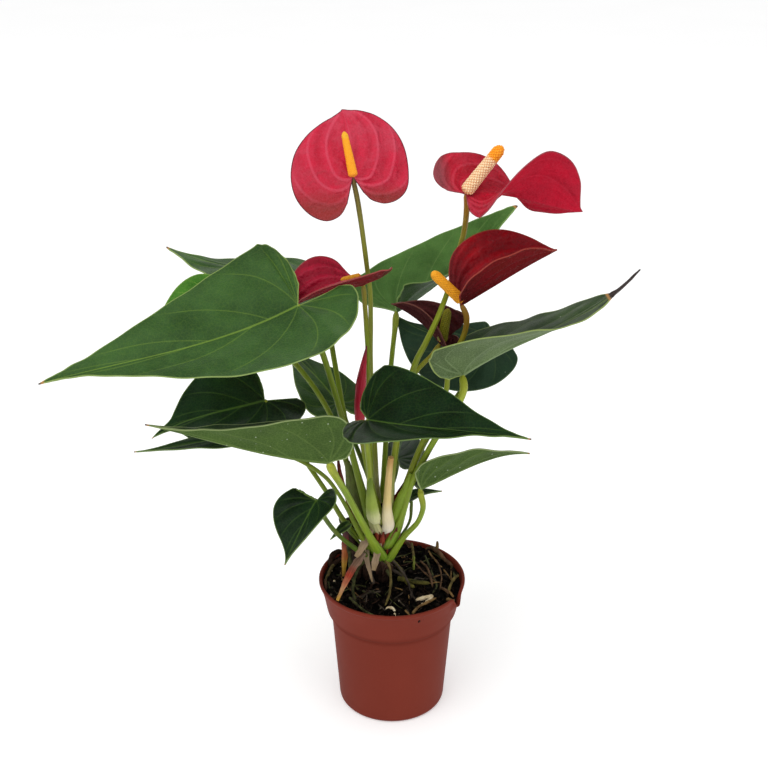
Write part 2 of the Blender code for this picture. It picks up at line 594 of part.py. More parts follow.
def add_object(name, points, faces, look, smooth_angle=40):
    """Mesh object with outward normals, in metres."""
    mesh = bpy.data.meshes.new(name)
    mesh.from_pydata([tuple(p) for p in np.asarray(points) * MM], [], [tuple(f) for f in faces])
    bm = bmesh.new()
    bm.from_mesh(mesh)
    bmesh.ops.recalc_face_normals(bm, faces=bm.faces)
    bm.to_mesh(mesh)
    bm.free()
    mesh.materials.append(material(look))
    mesh.shade_smooth()
    mesh.set_sharp_from_angle(angle=math.radians(smooth_angle))
    piece = bpy.data.objects.new(name, mesh)
    bpy.context.scene.collection.objects.link(piece)
    return piece


def material(look):
    """The material of a look, made when it is first asked for."""
    found = bpy.data.materials.get(look)
    if found:
        return found
    colour, roughness = COLOURS[look]
    made = bpy.data.materials.new(look)
    made.use_nodes = True
    shader = made.node_tree.nodes["Principled BSDF"]
    shader.inputs["Base Color"].default_value = (*colour, 1)
    shader.inputs["Roughness"].default_value = roughness
    made.diffuse_color = (*colour, 1)
    return made


def pot_inside():
    """Inner profile of the pot from the rim down to the floor: radius and height."""
    return [
        (POT_RIM_RADIUS - POT_LIP, POT_HEIGHT),
        (POT_COLLAR_TOP_RADIUS - POT_WALL, POT_HEIGHT - 3.0),
        (POT_COLLAR_FOOT_RADIUS - POT_WALL, POT_COLLAR_FOOT_HEIGHT + 1.0),
        (POT_BODY_TOP_RADIUS - POT_WALL, POT_BODY_TOP_HEIGHT + 2.0),
        (POT_BASE_RADIUS - POT_WALL, POT_FLOOR + 1.2),
        (POT_BASE_RADIUS - POT_WALL - 1.2, POT_FLOOR),
    ]


def tear(points):
    """Rim of the pot drawn down where it is torn."""
    angles = np.degrees(np.arctan2(points[:, 1], points[:, 0]))
    off = np.abs(angles - TEAR_ANGLE) / TEAR_HALF_WIDTH
    depth = TEAR_DEPTH * np.clip(1 - off, 0, 1)**0.7
    reach = np.clip((points[:, 2] - POT_HEIGHT) / TEAR_REACH + 1, 0, 1)
    torn = points.copy()
    torn[:, 2] -= depth * reach
    return torn


def make_pot():
    """Pot with a stepped collar, a torn rim and drain holes cut by a guide."""
    outside = [
        (POT_RIM_RADIUS, POT_HEIGHT),
        (POT_RIM_RADIUS, POT_HEIGHT - 2.4),
        (POT_COLLAR_TOP_RADIUS, POT_HEIGHT - 3.2),
        (0.5 * (POT_COLLAR_TOP_RADIUS + POT_COLLAR_FOOT_RADIUS), 0.5 * (POT_HEIGHT + POT_COLLAR_FOOT_HEIGHT)),
        (POT_COLLAR_FOOT_RADIUS, POT_COLLAR_FOOT_HEIGHT),
        (POT_COLLAR_FOOT_RADIUS - 0.6, POT_COLLAR_FOOT_HEIGHT - 1.8),
        (POT_BODY_TOP_RADIUS + 0.7, POT_BODY_TOP_HEIGHT + 1.6),
        (POT_BODY_TOP_RADIUS, POT_BODY_TOP_HEIGHT),
        (POT_BASE_RADIUS, 2.6),
        (POT_BASE_RADIUS - 0.7, 0.9),
        (POT_BASE_RADIUS - 2.4, 0.0),
        (0, 0),
    ]
    points, faces = lathe([(0, POT_FLOOR), *pot_inside()[::-1], *outside], POT_SIDES)
    pot = add_object("pot", tear(points), faces, "pot_plastic", 30)
    cutter_points = []
    cutter_faces = []
    for k in range(DRAIN_COUNT):
        angle = 2 * math.pi * (k + 0.5) / DRAIN_COUNT
        middle = np.array([math.cos(angle), math.sin(angle), 0]) * DRAIN_CIRCLE
        ends = [middle - (0, 0, POT_FLOOR), middle + (0, 0, 2 * POT_FLOOR)]
        points, faces = tube(ends, [DRAIN_RADIUS] * 2, DRAIN_SIDES)
        cutter_faces += [[n + len(cutter_points) for n in face] for face in faces]
        cutter_points += list(points)
    cutter = add_object("drain_cutter", cutter_points, cutter_faces, "pot_plastic")
    cutter.hide_render = True
    cutter.display_type = "WIRE"
    holes = pot.modifiers.new("drain_holes", "BOOLEAN")
    holes.operation = "DIFFERENCE"
    holes.solver = "EXACT"
    holes.object = cutter


def soil_height(x, y):
    """Height of the soil's top: it rises to the back and the left, and levels out round the crown."""
    slope = SOIL_EDGE_HEIGHT + (SOIL_RISE[0] * x + SOIL_RISE[1] * y) / POT_RIM_RADIUS
    reach = np.hypot(x - CROWN_AXIS[0], y - CROWN_AXIS[1])
    share = np.clip((SOIL_MOUND_REACH - reach) / (SOIL_MOUND_REACH - SOIL_MOUND_FLAT), 0, 1)
    return slope + (SOIL_CROWN_HEIGHT - slope) * share * share * (3 - 2 * share)


def lay_soil_top(points, upper, inside):
    """Give the soil's top points their height, and stretch them out to the pot's flared wall."""
    rows = np.array(inside[1:][::-1])
    level = np.interp(SOIL_EDGE_HEIGHT, rows[:, 1], rows[:, 0])
    flat = points[upper, :2]
    wall = np.interp(soil_height(flat[:, 0], flat[:, 1]), rows[:, 1], rows[:, 0])
    flat *= (1 + (wall / level - 1) * np.hypot(flat[:, 0], flat[:, 1]) / level)[:, None]
    points[upper, :2] = flat
    points[upper, 2] = soil_height(flat[:, 0], flat[:, 1])


def make_soil():
    """Soil that fills the pot up to its mounded top."""
    inside = [(radius - GAP, height) for radius, height in pot_inside()]
    rows = np.array(inside[1:][::-1])
    edge = np.interp(SOIL_EDGE_HEIGHT, rows[:, 1], rows[:, 0])
    side = [(r, h) for r, h in inside if h < SOIL_EDGE_HEIGHT - 1]
    side[-1] = (side[-1][0], side[-1][1] + GAP)
    top = [(edge * k / SOIL_RINGS, SOIL_EDGE_HEIGHT) for k in range(1, SOIL_RINGS + 1)]
    points, faces = lathe([(0, SOIL_EDGE_HEIGHT), *top, *side, (0, POT_FLOOR + GAP)], POT_SIDES)
    lay_soil_top(points, points[:, 2] == SOIL_EDGE_HEIGHT, inside)
    add_object("soil", points, faces, "potting_soil", 80)


def make_crown():
    """Upright stem that every stalk grows from."""
    line = [(*CROWN_AXIS, height) for height, _ in CROWN_PROFILE]
    points, faces = tube(line, [radius for _, radius in CROWN_PROFILE], CROWN_SIDES)
    add_object("crown_stem", points, faces, "crown_skin", 60)


def blade_solid(blade, grid, margin):
    """Solid of a blade, thinner from the midrib to the margin."""
    points, shares, faces = blade.sheet(*grid)
    across = np.abs(shares[:, 1])
    return thicken(points, faces, MIDRIB_THICKNESS + (margin - MIDRIB_THICKNESS) * across**0.6)


def make_blades(blades):
    """Solids of all leaf blades and spathes."""
    for name, blade in blades.items():
        number = name.rsplit("_", 1)[1]
        if name.startswith("leaf"):
            grid = LEAF_GRID if blade.length > SMALL_LEAF_LENGTH else SMALL_LEAF_GRID
            points, faces = blade_solid(blade, grid, LEAF_MARGIN_THICKNESS)
            look = LEAF_LOOKS.get(number, "leaf_dark")
        else:
            points, faces = blade_solid(blade, SPATHE_GRID, SPATHE_MARGIN_THICKNESS)
            look = SPATHE_LOOKS.get(number, "spathe_red")
        add_object(name, points, faces, look, 70)


def make_stalks(blades):
    """Stalks of all blades and spathes, of the bud and of the cut stub."""
    routes = {}
    for number, (points, foot, top) in LEAF_STALKS.items():
        end = stalk_end(blades["leaf_" + number], points, top)
        routes["leaf_stalk_" + number] = stalk_line(points, end, foot, top)
    for number, (points, foot, top) in FLOWER_STALKS.items():
        end = stalk_end(blades["spathe_" + number], points, top)
        routes["flower_stalk_" + number] = stalk_line(points, end, foot, top)
    for name, (points, foot, top) in zip(FREE_TOPS, (BUD_STALK, CUT_STUB)):
        routes[name] = stalk_line(points[:-1], points[-1], foot, top)
    lines = spread_stalks(routes)
    for name, line in lines.items():
        points, faces = tube(line, routes[name][1], STALK_SIDES)
        add_object(name, points, faces, "sheath_tan" if name == "cut_stub" else "stalk_green", 60)


def spindle(start, end, foot, top, rings, sides):
    """A round-ended finger: foot radius near its start and top radius near its end."""
    start, end = np.array(start, float), np.array(end, float)
    length = np.linalg.norm(end - start)
    share = (1 - np.cos(np.linspace(0, math.pi, rings))) / 2
    full = foot + (top - foot) * share
    ends = np.sqrt(np.clip(1 - np.clip(1 - share * length / foot, 0, 1)**2, 0, 1))
    tips = np.sqrt(np.clip(1 - np.clip(1 - (1 - share) * length / top, 0, 1)**2, 0, 1))
    radii = np.maximum(full * ends * tips, 0.25 * top)
    return tube(start + (end - start) * share[:, None], radii, sides)


def make_spadices():
    """The spadix that stands in each spathe."""
    for number, (start, end, foot, top) in SPADICES.items():
        points, faces = spindle(start, end, foot, top, SPADIX_RINGS, SPADIX_SIDES)
        add_object("spadix_" + number, points, faces, "spadix_yellow", 60)


def make_bud():
    """Bud of a spathe that is still rolled up."""
    start, end, radius = np.array(BUD[0], float), np.array(BUD[1], float), BUD[2]
    share = np.linspace(0, 1, BUD_RINGS)
    radii = radius * np.interp(share, BUD_SHARES, BUD_GIRTH)
    bow = np.array(BUD_BOW) * np.sin(share * math.pi)[:, None]
    points, faces = tube(start + (end - start) * share[:, None] + bow, radii, BUD_SIDES)
    add_object("bud", points, faces, "spathe_red", 60)


def make_bracts():
    """Papery scale leaves that hang from the crown."""
    for number, (line, width, thickness) in BRACTS.items():
        points, faces = strap(line, width, thickness)
        add_object("bract_" + number, points, faces, "bract_red", 60)


def make_roots():
    """Thick aerial roots, blunt at the crown and tapered at the tip."""
    for number, (line, radius) in ROOTS.items():
        share = np.linspace(0, 1, ROOT_STEPS)
        radii = radius * np.interp(share, (0, 0.1, 0.8, 1), (0.8, 1, 0.9, 0.4))
        points, faces = tube(smooth(line, share), radii, ROOT_SIDES)
        add_object("root_" + number, points, faces, "root_olive", 60)


def clear_scene():
    """Remove whatever the start-up scene holds."""
    for old in list(bpy.data.objects):
        bpy.data.objects.remove(old)


def main():
    """Build every piece."""
    clear_scene()
    make_pot()
    make_soil()
    make_crown()
    blades = {"leaf_" + number: Blade(**shape) for number, shape in LEAVES.items()}
    for number, shape in SPATHES.items():
        blades["spathe_" + number] = Blade(**{"outline": SPATHE, **shape})
    make_blades(blades)
    make_stalks(blades)
    make_spadices()
    make_bud()
    make_bracts()
    make_roots()


main()
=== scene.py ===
"""Looks of the potted anthurium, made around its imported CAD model.

Sizes in the tables are in millimetres and are turned into metres where a mesh is made. +Z is up,
-Y is the side that the photograph shows, and the origin is the centre of the pot's base.
"""
import math

import bmesh
import bpy
import numpy as np
from bpy.props import FloatProperty, FloatVectorProperty, IntProperty, PointerProperty
from bpy.types import Operator, Panel, PropertyGroup
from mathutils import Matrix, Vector


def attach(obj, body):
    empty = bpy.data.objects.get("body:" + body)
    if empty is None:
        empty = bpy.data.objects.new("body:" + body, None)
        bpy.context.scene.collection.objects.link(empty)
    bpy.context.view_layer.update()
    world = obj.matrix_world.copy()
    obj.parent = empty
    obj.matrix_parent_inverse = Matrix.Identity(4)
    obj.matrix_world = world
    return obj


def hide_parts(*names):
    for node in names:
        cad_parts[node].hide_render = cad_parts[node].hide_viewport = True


bl_info = {
    "name": "Potted anthurium",
    "version": (1, 0, 0),
    "blender": (4, 5, 0),
    "location": "3D View > Sidebar > Anthurium",
    "description": "Makes a flowering anthurium in its nursery pot, piece by piece",
    "category": "Add Mesh",
}

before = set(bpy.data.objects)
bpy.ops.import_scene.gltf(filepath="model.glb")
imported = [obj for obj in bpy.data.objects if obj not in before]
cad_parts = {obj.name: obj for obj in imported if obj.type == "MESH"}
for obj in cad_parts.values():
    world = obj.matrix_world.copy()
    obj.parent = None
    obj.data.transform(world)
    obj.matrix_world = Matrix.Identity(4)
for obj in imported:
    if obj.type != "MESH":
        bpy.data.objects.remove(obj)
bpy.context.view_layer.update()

MM = 0.001
TAU = 2 * math.pi
GOLDEN_ANGLE = 2.39996
FLOAT = "NodeSocketFloat"
VECTOR = "NodeSocketVector"
INT = "NodeSocketInt"
GEOMETRY = "NodeSocketGeometry"
MATERIAL = "NodeSocketMaterial"

# Air left between pieces that touch on the real plant
GAP = 0.3

# Pot
POT_HEIGHT = 100.0
POT_RIM_RADIUS = 52.5
POT_BASE_RADIUS = 38.6
POT_COLLAR_TOP_RADIUS = 51.4
POT_COLLAR_FOOT_RADIUS = 47.0
POT_COLLAR_FOOT_HEIGHT = 76.5
POT_BODY_TOP_RADIUS = 43.6
POT_BODY_TOP_HEIGHT = 71.0
POT_WALL = 1.5
POT_LIP = 2.0
POT_FLOOR = 2.0
TEAR_ANGLE = -24.0
TEAR_REACH = 14.0
DRAIN_RADIUS = 4.0
DRAIN_CIRCLE = 24.0
DRAIN_COUNT = 6

# Soil and crown
SOIL_EDGE_HEIGHT = 95.6
SOIL_CROWN_HEIGHT = 97.0
SOIL_RISE = (-1.0, 2.2)
SOIL_MOUND_FLAT = 12.0
SOIL_MOUND_REACH = 34.0
CROWN_AXIS = (-7.0, 1.0)
CROWN_PROFILE = ((97.4, 5.0), (104.0, 6.0), (115.0, 5.6), (122.0, 6.8), (131.0, 6.2), (141.0, 5.4),
                 (150.0, 4.2), (157.0, 2.6))

# Blades: thickness at the midrib and at the margin of leaves and of spathes
MIDRIB_THICKNESS = 1.3
LEAF_MARGIN_THICKNESS = 0.6
SPATHE_MARGIN_THICKNESS = 0.7

# Outlines of half a blade, from the tip to the back lobe: share of the length, share of the half width
LEAF = ((1.0, 0.0), (0.955, 0.022), (0.90, 0.055), (0.80, 0.15), (0.65, 0.36), (0.48, 0.62),
        (0.30, 0.85), (0.12, 0.985), (-0.04, 0.97), (-0.17, 0.82), (-0.255, 0.58), (-0.27, 0.34),
        (-0.22, 0.16))
ABRUPT = ((1.0, 0.0), (0.94, 0.02), (0.87, 0.05), (0.80, 0.10), (0.74, 0.25), (0.65, 0.55),
          (0.50, 0.82), (0.32, 0.96), (0.12, 1.0), (-0.04, 0.93), (-0.17, 0.78), (-0.25, 0.56),
          (-0.27, 0.34), (-0.22, 0.16))
TAILED = ((1.0, 0.0), (0.95, 0.015), (0.89, 0.02), (0.83, 0.04), (0.80, 0.10), (0.70, 0.27),
          (0.56, 0.46), (0.42, 0.64), (0.28, 0.83), (0.12, 0.98), (-0.03, 0.97), (-0.15, 0.82),
          (-0.235, 0.58), (-0.25, 0.34), (-0.20, 0.16))
BLUNT = ((1.0, 0.0), (0.955, 0.022), (0.90, 0.055), (0.80, 0.15), (0.65, 0.40), (0.48, 0.70),
         (0.32, 0.92), (0.18, 1.0), (0.07, 0.90), (0.01, 0.66), (-0.02, 0.38), (-0.02, 0.16))
SPATHE = ((1.0, 0.0), (0.965, 0.05), (0.92, 0.17), (0.84, 0.40), (0.68, 0.68), (0.45, 0.89),
          (0.20, 0.985), (-0.08, 1.0), (-0.32, 0.90), (-0.50, 0.68), (-0.57, 0.42), (-0.50, 0.20),
          (-0.34, 0.08))
FLAP = ((1.0, 0.0), (0.965, 0.05), (0.92, 0.2), (0.84, 0.5), (0.68, 0.85), (0.5, 1.0), (0.35, 0.93),
        (0.22, 0.72), (0.12, 0.62), (0.04, 0.55), (-0.03, 0.36), (-0.05, 0.2), (-0.03, 0.08))
HOOD = ((1.0, 0.0), (0.96, 0.06), (0.90, 0.20), (0.80, 0.45), (0.65, 0.75), (0.50, 0.92), (0.35, 1.0),
        (0.20, 0.97), (0.08, 0.85), (0.0, 0.60), (-0.03, 0.35), (-0.03, 0.15))

# Leaf blades: where the midrib starts and ends, then how the blade is bent (see Blade).
# Pairs are left half, right half, seen from the stalk with the face up.
LEAVES = {
    "01": dict(base=(-59, -35, 318), tip=(-211, -85, 286), roll=-26, arch=(-4, 7), sweep=(-11, 8),
               width=0.28, fold=(8, 16), tip_fold=(2, 12), curl=(8, -14), lobes=(25, -15),
               back=(0.77, 0.2), wide=(1.08, 1.2), full=(0.8, 1.25), skew=(0, 0.26)),
    "02": dict(base=(-50, 70, 299), tip=(-159, 75, 323), roll=-14, arch=(6, -12), sweep=(-10, 6),
               width=0.28, fold=(8, -8), back=(0.8, 0.8), full=(1.4, 1), wide=(1.5, 1)),
    "03": dict(base=(-112, 14, 300), tip=(-154, -4, 298), roll=-37, arch=(10, 10), width=0.58,
               fold=(5, 5), back=(0.7, 0), full=(1.6, 1.5), wide=(0.92, 1), skew=(0, -0.24)),
    "04": dict(base=(46, -15, 263), tip=(164, 20, 324), arch=(11, -26), sweep=(12, 8), width=0.27,
               fold=(8, 66), tip_fold=(-4, -16), curl=(-2, -11), back=(0.1, 0.3), lobes=(0, -5),
               wide=(1, 1.14), full=(1.38, 0.85), skew=(-0.25, 0.2), outline=TAILED),
    "05": dict(base=(-16, -60, 251), tip=(85, -75, 245), roll=18, arch=(4, 10), sweep=(8, -8),
               width=0.37, fold=(18, 20), tip_fold=(18, 40), back=(0.3, 0.35), wide=(1.1, 0.95)),
    "06": dict(base=(-39, 45, 216), tip=(-80, 95, 240), arch=(10, 5), width=0.34, fold=(5, 5),
               back=(0.8, 0.8), wide=(1.15, 1)),
    "07": dict(base=(65, 40, 267), tip=(2, 72, 274), roll=-50, arch=(10, 5), sweep=(-25, 23), width=0.58,
               fold=(5, 5), back=(1.3, 0.2), full=(1.27, 1), wide=(0.93, 0.3), skew=(-0.22, 0.2)),
    "08": dict(base=(-41, -55, 219), tip=(-152, -75, 255), roll=-5, arch=(-8, 0), width=0.32,
               fold=(80, 12), tip_fold=(60, 10), back=(0.4, 0.5), full=(0.85, 1)),
    "09": dict(base=(-86, 0, 238), tip=(-162, -12, 215), roll=-30, arch=(18, 26), sweep=(-10, 0),
               width=0.46, fold=(-30, 15), curl=(-50, 0), back=(1.2, 0.1), wide=(0.7, 0.95),
               full=(1, 1.2), outline=ABRUPT, skew=(0, 0.1)),
    "10": dict(base=(-94, -33, 227), tip=(-167, -46, 222), roll=-14, arch=(6, -4), width=0.22,
               fold=(5, 5), wide=(0.6, 0.65)),
    "11": dict(base=(19, -10, 176), tip=(96, 10, 193), arch=(6, 24), width=0.30, fold=(2, 74),
               tip_fold=(0, 46), wide=(0.9, 1), back=(0.1, 0.2), full=(1, 1.3), outline=(LEAF, BLUNT)),
    "12": dict(base=(14, 20, 152), tip=(36, 22, 157), arch=(15, 15), width=0.36, fold=(15, 15)),
    "13": dict(base=(-50, -45, 186), tip=(-71, -62, 147), roll=-18, arch=(10, 5), width=0.48,
               fold=(25, 5), back=(0.8, 0.0), wide=(0.8, 1.08), skew=(0.2, -0.5)),
    "14": dict(base=(-32, -14, 149), tip=(-43, -19, 141), roll=-10, arch=(10, 5), width=0.30,
               fold=(8, 8)),
    "15": dict(base=(4, 38, 175), tip=(12, 98, 174), arch=(8, 5), width=0.34, fold=(5, 5),
               back=(0.3, 0.8), wide=(0.55, 0.95)),
    "16": dict(base=(3, 55, 282), tip=(90, 100, 346), roll=22, arch=(-18, -8), width=0.36,
               fold=(10, 72), tip_fold=(10, 20), full=(1.75, 1), back=(0.5, 0.1), wide=(0.97, 0.8)),
}

SPATHES = {
    "1": dict(base=(-25, -10, 393), tip=(-32, 12, 430), arch=(20, 20), sweep=(6, -6), width=0.87,
              curl=(-15, -15), back=(1.08, 0.62), full=(1, 1.5), wide=(0.98, 0.97)),
    "2": dict(base=(46, 0, 380), tip=(119, -5, 370), roll=36, arch=(8, 11), sweep=(-15, -11), width=0.48,
              fold=(13, 0), tip_fold=(7, 34), curl=(22, -4), twist=(-88, 0, 0.62), back=(0.46, 0.1),
              lobes=(30, 75), wide=(0.77, 1.06), full=(1.08, 1.1), skew=(0.45, -0.18),
              outline=(SPATHE, FLAP)),
    "3": dict(base=(44, -10, 310), tip=(106, 5, 342), roll=5, arch=(0, 4), width=0.50, fold=(52, 50),
              curl=(-10, 0), back=(0.3, 0.15), skew=(-0.15, -0.1), outline=HOOD),
    "4": dict(base=(-19, -8, 323), tip=(-72, -18, 307), roll=-14, arch=(18, 6), sweep=(-12, -17),
              width=0.42, fold=(44, -10), tip_fold=(30, 88), curl=(0, 16), back=(0.5, 0.2),
              lobes=(20, 30), wide=(1, 1.05), full=(1.6, 0.75), skew=(0.5, -0.2), outline=(SPATHE, HOOD)),
    "5": dict(base=(32, 6, 277), tip=(-1, 11, 303), width=0.55, fold=(23, 66), tip_fold=(70, 60),
              full=(1, 0.7), back=(0.3, 0.8), lobes=(0, 80), wide=(0.7, 1.1), skew=(0, 0.45)),
}

# Stalks: points from the crown to the blade, then the radius at the foot and at the blade
LEAF_STALKS = {
    "01": ([(-12, -4, 142), (-22, -9, 187), (-33, -15, 234), (-45, -24, 283), (-55, -32, 308)], 3.0,
           2.0),
    "02": ([(-14, 7, 139), (-25, 14, 176), (-32, 24, 206), (-40, 44, 244), (-46, 60, 276)], 2.8, 1.9),
    "03": ([(-14, 2, 133), (-28, 3, 180), (-42, 6, 225), (-64, 12, 258), (-90, 17, 282)], 2.6, 1.8),
    "04": ([(-1, -4, 131), (5, -5, 150), (12, -6, 177), (20, -8, 196), (31, -11, 219), (45, -22, 249)],
           3.1, 2.1),
    "05": ([(-8, -7, 142), (-13, -16, 172), (-14, -27, 198), (-16, -42, 224), (-17, -55, 241)], 2.8,
           1.9),
    "06": ([(-12, 8, 145), (-17, 18, 167), (-28, 32, 193), (-35, 42, 208)], 2.4, 1.7),
    "07": ([(0, 5, 137), (9, 13, 165), (24, 20, 199), (44, 28, 226), (60, 36, 251)], 2.9, 1.9),
    "08": ([(-9, -7, 122), (-21, -24, 158), (-31, -41, 190), (-38, -51, 209)], 2.9, 2.3),
    "09": ([(-15, -2, 127), (-31, -5, 143), (-46, -6, 172), (-59, -4, 193), (-71, 2, 212),
           (-80, 6, 226)], 2.1, 1.6),
    "10": ([(-13, -5, 122), (-22, -13, 141), (-32, -18, 167), (-44, -24, 191), (-61, -31, 208),
           (-79, -34, 217)], 2.0, 1.4),
    "11": ([(-2, -5, 118), (8, -9, 138), (17, -11, 150), (21, -12, 162), (20, -11, 170)], 2.4, 1.8),
    "12": ([(0, 4, 118), (7, 12, 126), (13, 18, 135), (14, 20, 146)], 1.5, 1.0),
    "13": ([(-14, -6, 116), (-27, -17, 133), (-39, -31, 154), (-47, -41, 174)], 2.2, 1.6),
    "14": ([(-14, -2, 118), (-22, -8, 131), (-29, -13, 143)], 1.3, 0.9),
    "15": ([(-4, 8, 144), (-2, 18, 156), (2, 31, 164)], 2.2, 1.6),
    "16": ([(-8, 8, 150), (-7, 22, 168), (-4, 38, 206), (-1, 48, 243), (2, 54, 270)], 2.6, 1.8),
}

FLOWER_STALKS = {
    "1": ([(-9, 1, 152), (-11, 2, 202), (-13, 3, 238), (-14, 4, 275), (-14, 4, 308), (-17, -1, 337),
          (-21, -7, 370)], 2.6, 1.6),
    "2": ([(-4, 0, 152), (0, -4, 201), (12, -10, 264), (22, -15, 289), (31, -10, 308), (38, 6, 322),
          (42, 15, 334), (46, 18, 348), (47, 8, 366)], 2.6, 1.8),
    "3": ([(-2, 1, 146), (8, -2, 176), (20, -5, 211), (33, -5, 241), (36, -4, 254), (37, -5, 267),
          (45, -6, 283), (48, -9, 299)], 2.6, 1.8),
    "4": ([(-10, -3, 150), (-13, -5, 205), (-15, -2, 240), (-16, -2, 276), (-18, -6, 309)], 2.4, 1.6),
    "5": ([(-4, 5, 150), (0, 6, 197), (7, 5, 236), (15, 5, 256), (26, 6, 268)], 2.3, 1.6),
}

BUD_STALK = ([(-10, -6, 148), (-17, -10, 190), (-21, -12, 222)], 2.4, 2.2)
CUT_STUB = ([(-7, -7, 143), (-5, -12, 165), (-1, -16, 203)], 4.2, 1.9)
FREE_TOPS = ("bud_stalk", "cut_stub")
STALK_RINGS = 12
SHEATH_SHARE = 0.4
SPREAD_ROUNDS = 260

# Spadices: where the axis starts and ends, and the radius near the foot and near the tip
SPADICES = {
    "1": ((-25, -13.4, 396.6), (-30, -8, 420), 2.9, 1.9),
    "2": ((46.8, -1.8, 383.4), (67, -2, 410), 4.1, 3.4),
    "3": ((42.6, -10.9, 314.3), (25, -15, 333), 3.4, 3.0),
    "4": ((-23.4, -8.8, 328.2), (-33, -9, 326), 1.8, 1.5),
    "5": ((33, 1, 282.5), (36, 0, 303), 3.4, 2.6),
}

# Rolled bud: where it starts and ends, its radius, and its girth from foot to tip as shares
BUD = ((-22, -12, 223), (-17, -12, 282), 4.6)
BUD_SHARES = (0, 0.08, 0.3, 0.6, 0.9, 1)
BUD_GIRTH = (0.55, 0.8, 1.0, 0.8, 0.3, 0.08)
BUD_BOW = (-1.5, 0, 0)

# Bracts and roots: points along the middle, then width and thickness, or radius
BRACTS = {
    "1": ([(-32, -1, 137), (-33, 0, 126), (-34, 1, 113), (-35, 2, 97.2)], 6.0, 0.8),
    "2": ([(-19, -17, 129), (-26, -23, 123), (-32, -29, 114), (-38, -34, 101.2)], 5.5, 0.8),
}
ROOTS = {
    "1": ([(4, -3, 99.6), (10, -5, 99.4), (18, -7, 99), (27, -7, 98)], 2.0),
    "2": ([(-4, -6, 109), (-1, -10, 104), (-1, -15, 99.6), (-5, -21, 97.0)], 1.1),
    "3": ([(-12.6, -3.6, 110), (-15, -9, 107), (-13, -14, 102)], 1.6),
}

# Fine blades: thickness at the midrib, and the side veins of leaves and of spathes as their count,
# how far they lean to the tip and where the first one is in the left and the right half
BLADE_THICKNESS = 1.0
LEAF_VEINS = dict(count=7.6, lean=0.08, offset=(0.47, 0.16))
SPATHE_VEINS = dict(count=4.0, lean=0.72, offset=(0.5, 0.5))

# Stalks: the swollen joint under a leaf, and the flattened sheath at the foot
JOINT_SWELL = 0.22
JOINT_REACH = 7.0
SHEATH_REACH = 26.0
SHEATH_SPREAD = 0.85
# Cut stub: its radius in millimetres at shares of its length from the foot
STUB_SHARES = (0.0, 0.1, 0.2, 0.36, 0.5, 0.65, 0.85, 1.0)
STUB_GIRTH = (2.6, 3.9, 4.3, 4.2, 3.5, 2.8, 2.3, 2.0)

# Fine pot and soil
PROFILE_STEP = 4.0
SOIL_RINGS = 84
SOIL_SIDES = 220
# Torn rim: degrees from the middle of the tear, then how far down and how far out the edge is
TEAR_SHAPE = ((-14.0, 0.0), (-11.5, 0.4), (-9.0, 4.5), (-7.5, 7.8), (-5.0, 8.2), (-3.4, 9.0), (-1.0, 8.4),
              (0.2, 4.2), (1.4, 1.4), (4.0, 0.6), (9.0, 0.0))
TEAR_BEND = ((-13.0, 0.0), (-9.0, 0.8), (-5.0, 1.4), (0.0, 0.6), (3.0, 0.2), (6.0, 0.0))

# Colours along papery pieces, from foot to tip
STUB_STOPS = ((0.0, (238, 230, 214)), (0.3, (232, 218, 178)), (0.5, (222, 200, 132)), (0.8, (222, 190, 128)),
              (1.0, (190, 146, 84)))
BRACT_STOPS = {
    "1": ((0.0, (70, 22, 30)), (0.3, (128, 44, 34)), (0.55, (196, 108, 48)), (0.8, (206, 160, 56)),
          (1.0, (176, 130, 52))),
    "2": ((0.0, (140, 118, 102)), (0.32, (136, 104, 84)), (0.44, (152, 76, 56)), (0.56, (186, 66, 40)),
          (0.68, (208, 118, 80)), (0.82, (206, 152, 104)), (1.0, (190, 144, 46))),
}
# Sheaths of the crown: colours from foot to tip, and how dirty each look is
SHEATH_LOOKS = {
    "pale": (((0.0, (240, 232, 214)), (0.25, (220, 222, 168)), (0.55, (150, 170, 70)), (1.0, (104, 128, 36))), 0.08),
    "olive": (((0.0, (88, 70, 40)), (0.3, (88, 104, 40)), (1.0, (112, 130, 52))), 0.3),
    "green": (((0.0, (116, 146, 44)), (0.5, (122, 150, 40)), (1.0, (134, 160, 48))), 0.1),
    "red": (((0.0, (158, 70, 42)), (0.5, (140, 50, 34)), (1.0, (84, 26, 26))), 0.15),
    "old": (((0.0, (52, 32, 24)), (0.4, (86, 64, 50)), (1.0, (116, 94, 78))), 0.4),
    "papery": (((0.0, (188, 168, 138)), (0.5, (166, 142, 116)), (1.0, (176, 150, 112))), 0.16),
    "core": (((0.0, (184, 96, 58)), (0.6, (160, 68, 44)), (1.0, (120, 48, 34))), 0.2),
}
SHEATH_SLOTS = {"pale": "stalk_green", "olive": "stalk_green", "green": "stalk_green", "red": "bract_red",
                "old": "crown_skin", "papery": "crown_skin", "core": "crown_skin"}
